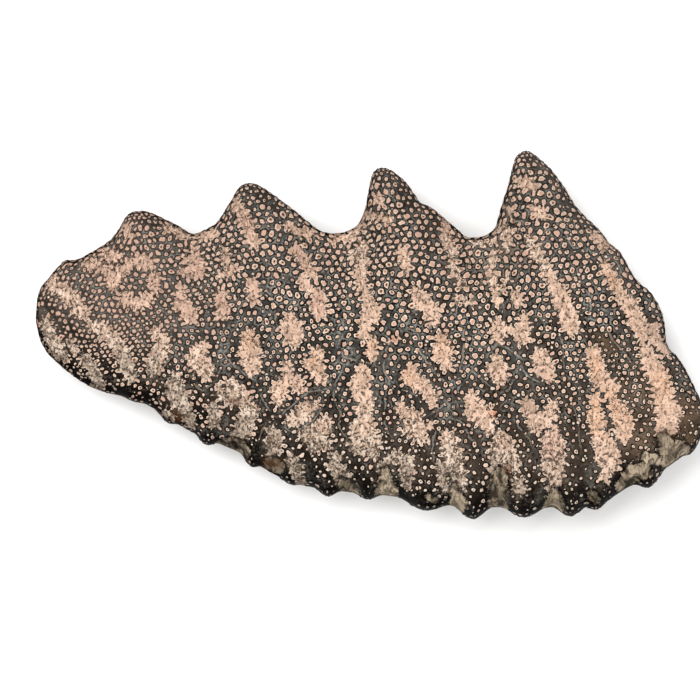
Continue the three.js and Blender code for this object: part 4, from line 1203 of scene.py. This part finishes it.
def groundColour(marks):
    # cool grey to warm brown, hazy in places, brown-black to nearly black in the channels and, as painted
    # shade, on the cusps' front flanks, with thin pale lines half way between dots that paint highlights on
    # the raised walls, the dots' dark surrounds, and pale painted-highlight lines in dark courses
    place, dulled, darkness = marks.grainPlace, marks.dulled, marks.darkness
    mottle = clouded(place, "mottle", cloud(place, "slowMottle"))
    margin = clouded(marks.fringePlace, "margin", marks.depth)
    margin = times(stepped(margin, "margin"), turned(dulled, "marginDulled"))
    blotches = turned(patchy(place, "blotches"), "brownBlotches")
    deep = blend(times(marks.brownish, blotches), "darkGroundAndShade", "brownGround")
    tan = times(marks.tan, stepped(mottle, "tan"))
    mist = times(marks.frosted, stepped(mottle, "mist"))
    shown = stepped(scaled(darkness, weights["webInDark"], cloud(place, "webGaps")), "webShown")
    # painted highlight along the walls half way between dots
    web = times(times(stepped(marks.offWall, "web"), shown), turned(darkness, "webInDark"))
    line = blend(marks.warmth, "paleLineHighlight", "warmLineHighlight")
    surround = blend(dulled, "halo", "haloDull")
    return layered(
        "coolGround",
        (marks.warmth, "warmGround"),
        (stepped(mottle, "haze"), "haze"),
        (dulled, "haze", 0.4),
        (margin, "margin"),
        (times(darkness, turned(stepped(mottle, "darkMottle"), "darkMottle")), deep),
        (tan, "tan", 0.8),
        (mist, "mist", 0.7),
        (times(web, turned(dulled, "webDulled")), line),
        (marks.halo, blend(stepped(marks.depth, "gap"), surround, "gap")),
        (marks.course, "halo", 0.6),
        (marks.vein, line),
    )


def dotColour(marks):
    # pale at the border and pinker at the heart, duller in some and where the plate is dulled, whitened by
    # painted highlight over the channels, with a dark pit in some: the colour, and where the pits are
    tired = sums("MAXIMUM", marks.dulled, stepped(marks.dotKind, "tired"))
    pitted = times(stepped(marks.dots, "pit"), stepped(marks.dotKind, "pitted"))
    return layered(
        "dot",
        (stepped(marks.dots, "heart"), "dotHeart"),
        (tired, "dotDull", 0.85),
        (marks.bleached, "dotHighlight", 0.6),
        (pitted, "dotPit"),
    ), pitted


def patchColour(marks):
    # peach, turning orange, rosy, ashen or rusty, with brown seams where dots have merged, brown strokes,
    # darker and paler cells with cracks between them, pale specks and dark pores: the colour, and its pitting
    rosy, ashen, cracked = marks.rosy, marks.ashen, marks.cracked
    weathered = times(marks.weathered, turned(rosy, "weatheredRosy"))
    seams = times(stepped(marks.offWall, "seam"), stepped(marks.slowLobes, "seamShown"))
    seams = times(seams, turned(marks.loose, "seamLoose"))
    drawn = stretched(marks.grainPlace, "strokes")
    strokes = patchy(drawn, "strokes")
    speck = cloud(marks.grainPlace, "specks")
    border, tone = cobbles(stretched(marks.shaken, "cells"))
    clear = turned(rosy, "cellsRosy")
    darkCells = times(stepped(tone, "darkCells"), weights["darkCells"])
    paleCells = times(stepped(tone, "paleCells"), weights["paleCells"])
    paleTone = blend(weathered, "light", "frost")
    broken = stepped(scaled(weathered, weights["brokenWeathered"], speck), "broken")
    grooves = times(times(stepped(border, "groove"), broken), turned(weathered, "grooveWeathered"))
    grooves = times(grooves, cracked)
    deeper = turned(weathered, "specksWeathered")
    pale = stepped(sums("SUBTRACT", cloud(drawn, "paleSpecks"), deeper), "paleSpecks")
    pores = times(stepped(sums("SUBTRACT", speck, deeper), "pores"), cracked)
    skin = layered(
        "peach",
        (marks.orange, "orange"),
        (rosy, "rosy"),
        (ashen, "ashen"),
        (marks.dulled, "skinDull", 0.5),
        (marks.rust, "rust"),
        (seams, "rim"),
        (strokes, "fleck", 0.5),
        (times(darkCells, clear), "fleck"),
        (times(paleCells, clear), paleTone),
        (grooves, "crack"),
        (times(pale, turned(ashen, "paleAshen")), paleTone),
        (pores, "crack", 0.85),
    )
    cobbled = times(stepped(border, "cobbled"), weights["cobbled"])
    return skin, sums("MAXIMUM", sums("MAXIMUM", pores, seams), sums("MAXIMUM", grooves, cobbled))


def hollowColour(marks, colour):
    # over the colour so far: hollows with swirling marbling and dark strokes, each ringed by painted shade in
    # its crevice, and stains
    swept = stretched(marks.grainPlace, "hollows")
    streak = cloud(swept, "marbling")
    strokes = stepped(sums("ABSOLUTE", cloud(swept, "hollowStrokes")), "hollowStrokes")
    depth = grained(marks, "hollow", scaled(streak, weights["hollowStreak"], marks.hollowDepth))
    marbling = grained(marks, "marbling", sums("ADD", streak, marks.hollowTone))
    skin = layered(
        "hollowDark",
        (stepped(marbling, "hollowDark"), "hollow"),
        (stepped(marbling, "hollowPale"), "hollowPale"),
        (strokes, "hollowDark", 0.7),
    )
    stain = stepped(grained(marks, "stain", marks.stainDepth), "stain")
    return layered(
        colour,
        # painted shade in the crevice round each hollow
        (stepped(depth, "crevice"), "darkGroundAndShade", 0.85),
        (stepped(depth, "hollow"), skin),
        (stain, "stain", 0.5),
    )


def boneColour(marks, colour):
    # over the colour so far, below the rim and underneath: a frayed dark margin, then bone with upright
    # streaks, pale clouds and pores: the colour, where the bone is shown, and its height
    place = newNode(colour, "ShaderNodeTexCoord", {}).outputs["Object"]
    even = stretched(place, "bone")
    streaks = cloud(stretched(place, "boneStreaks"), "boneStreaks")
    clouds = patchy(even, "boneClouds")
    pores, rims = grains(even, "bonePores")
    bone = layered(
        "boneDark",
        (stepped(streaks, "boneStreaks"), "bone"),
        (clouds, "bonePale", 0.7),
        (rims, "boneDark", 0.5),
        (pores, "bonePore"),
    )
    below = clouded(even, "boneMargin", marks.belowRim)
    below = scaled(streaks, weights["boneStreaks"], below)
    shown = stepped(below, "boneShown")
    height = scaled(pores, weights["bonePores"], times(streaks, weights["boneRidges"]))
    return layered(colour, (stepped(below, "boneMargin"), "darkGroundAndShade", 0.8), (shown, bone)), shown, height


def toothFinish():
    # dots and patches over the ground, painted shade along the plate's edge, then hollows, stains and bone;
    # the bump is the dots' cover and fine grain, less the pits, and the bone's own height where the bone
    # is shown
    material, shader = newMaterial("fossilTooth")
    marks = SimpleNamespace()
    for name, value in fields.items():
        part = "Vector" if isinstance(value, tuple) else "Fac"
        setattr(marks, name, fieldAt(material.node_tree, name, part))
    marks.fine = cloud(marks.grainPlace, "fine")
    marks.slowLobes = cloud(marks.grainPlace, "slowLobes")
    addWaves(marks)
    addDepth(marks)
    addLevels(marks)
    inner = stepped(marks.depth, "inner")
    dot, pitted = dotColour(marks)
    skin, pitting = patchColour(marks)
    # painted shade along the plate's edge, weaker over the dots
    edge = stepped(grained(marks, "edge", marks.edgeShade), "edge")
    colour = layered(
        groundColour(marks),
        (marks.fill, blend(inner, dot, skin)),
        (marks.tiny, "dot", 0.8),
        (times(edge, turned(marks.fill, "edgeOnDots")), "darkGroundAndShade"),
    )
    colour = hollowColour(marks, colour)
    colour, boneShown, boneHeight = boneColour(marks, colour)
    rough = grained(marks, "rough", turned(marks.fill, "roughDots"))
    rough = scaled(boneShown, weights["boneRough"], rough)
    height = scaled(times(pitting, inner), weights["pitting"], grained(marks, "height", marks.fill))
    height = scaled(pitted, weights["dotPits"], height)
    height = scaled(sums("SUBTRACT", boneHeight, height), boneShown, height)
    bump = newNode(height, "ShaderNodeBump", {**bumpStyle, "Height": height})
    plug(colour, shader.inputs["Base Color"])
    plug(rough, shader.inputs["Roughness"])
    plug(glint, shader.inputs["Specular IOR Level"])
    plug(bump.outputs["Normal"], shader.inputs["Normal"])
    return material


plateMesh.materials.append(toothFinish())
print("finish made")

# a pale floor just below the plate, a key light and a fill light, and even light from all around
studio = {
    "floorSize": 2.0, "floorDrop": 0.02, "floor": (0.94, 0.94, 0.935), "floorRoughness": 0.9,
    "worldLight": 0.72,
    "keyPlace": (-0.18, 0.22, 0.50), "keySize": 0.46, "keyPower": 3.5,
    "fillPlace": (0.26, -0.24, 0.50), "fillSize": 0.6, "fillPower": 1.6,
}


def makeFloor(setup):
    # a matt square, a little below the plate
    half = setup["floorSize"] / 2
    drop = -setup["floorDrop"] * mm
    corners = [(-half, -half, drop), (half, -half, drop), (half, half, drop), (-half, half, drop)]
    mesh = bpy.data.meshes.new("floor")
    mesh.from_pydata(corners, [], [(0, 1, 2, 3)])
    floor = bpy.data.objects.new("floor", mesh)
    bpy.context.scene.collection.objects.link(floor)
    material, shader = newMaterial("paleFloor")
    plug((*setup["floor"], 1.0), shader.inputs["Base Color"])
    plug(setup["floorRoughness"], shader.inputs["Roughness"])
    mesh.materials.append(material)


def makeLight(name, place, size, power):
    # a square of light that faces the middle of the plate
    data = bpy.data.lights.new(name, "AREA")
    data.size = size
    data.energy = power
    light = bpy.data.objects.new(name, data)
    light.location = place
    light.rotation_mode = "QUATERNION"
    light.rotation_quaternion = light.location.to_track_quat("Z", "Y")
    bpy.context.scene.collection.objects.link(light)


def makeWorld(strength):
    # even white light from all around
    world = bpy.data.worlds.new("studioWorld")
    world.use_nodes = True
    background = world.node_tree.nodes["Background"]
    plug(strength, background.inputs["Strength"])
    plug((1.0, 1.0, 1.0, 1.0), background.inputs["Color"])
    bpy.context.scene.world = world


makeFloor(studio)
for kind in ("key", "fill"):
    makeLight(kind + "Light", studio[kind + "Place"], studio[kind + "Size"], studio[kind + "Power"])
makeWorld(studio["worldLight"])
bpy.context.scene.view_settings.view_transform = "Standard"
print("floor and light made")
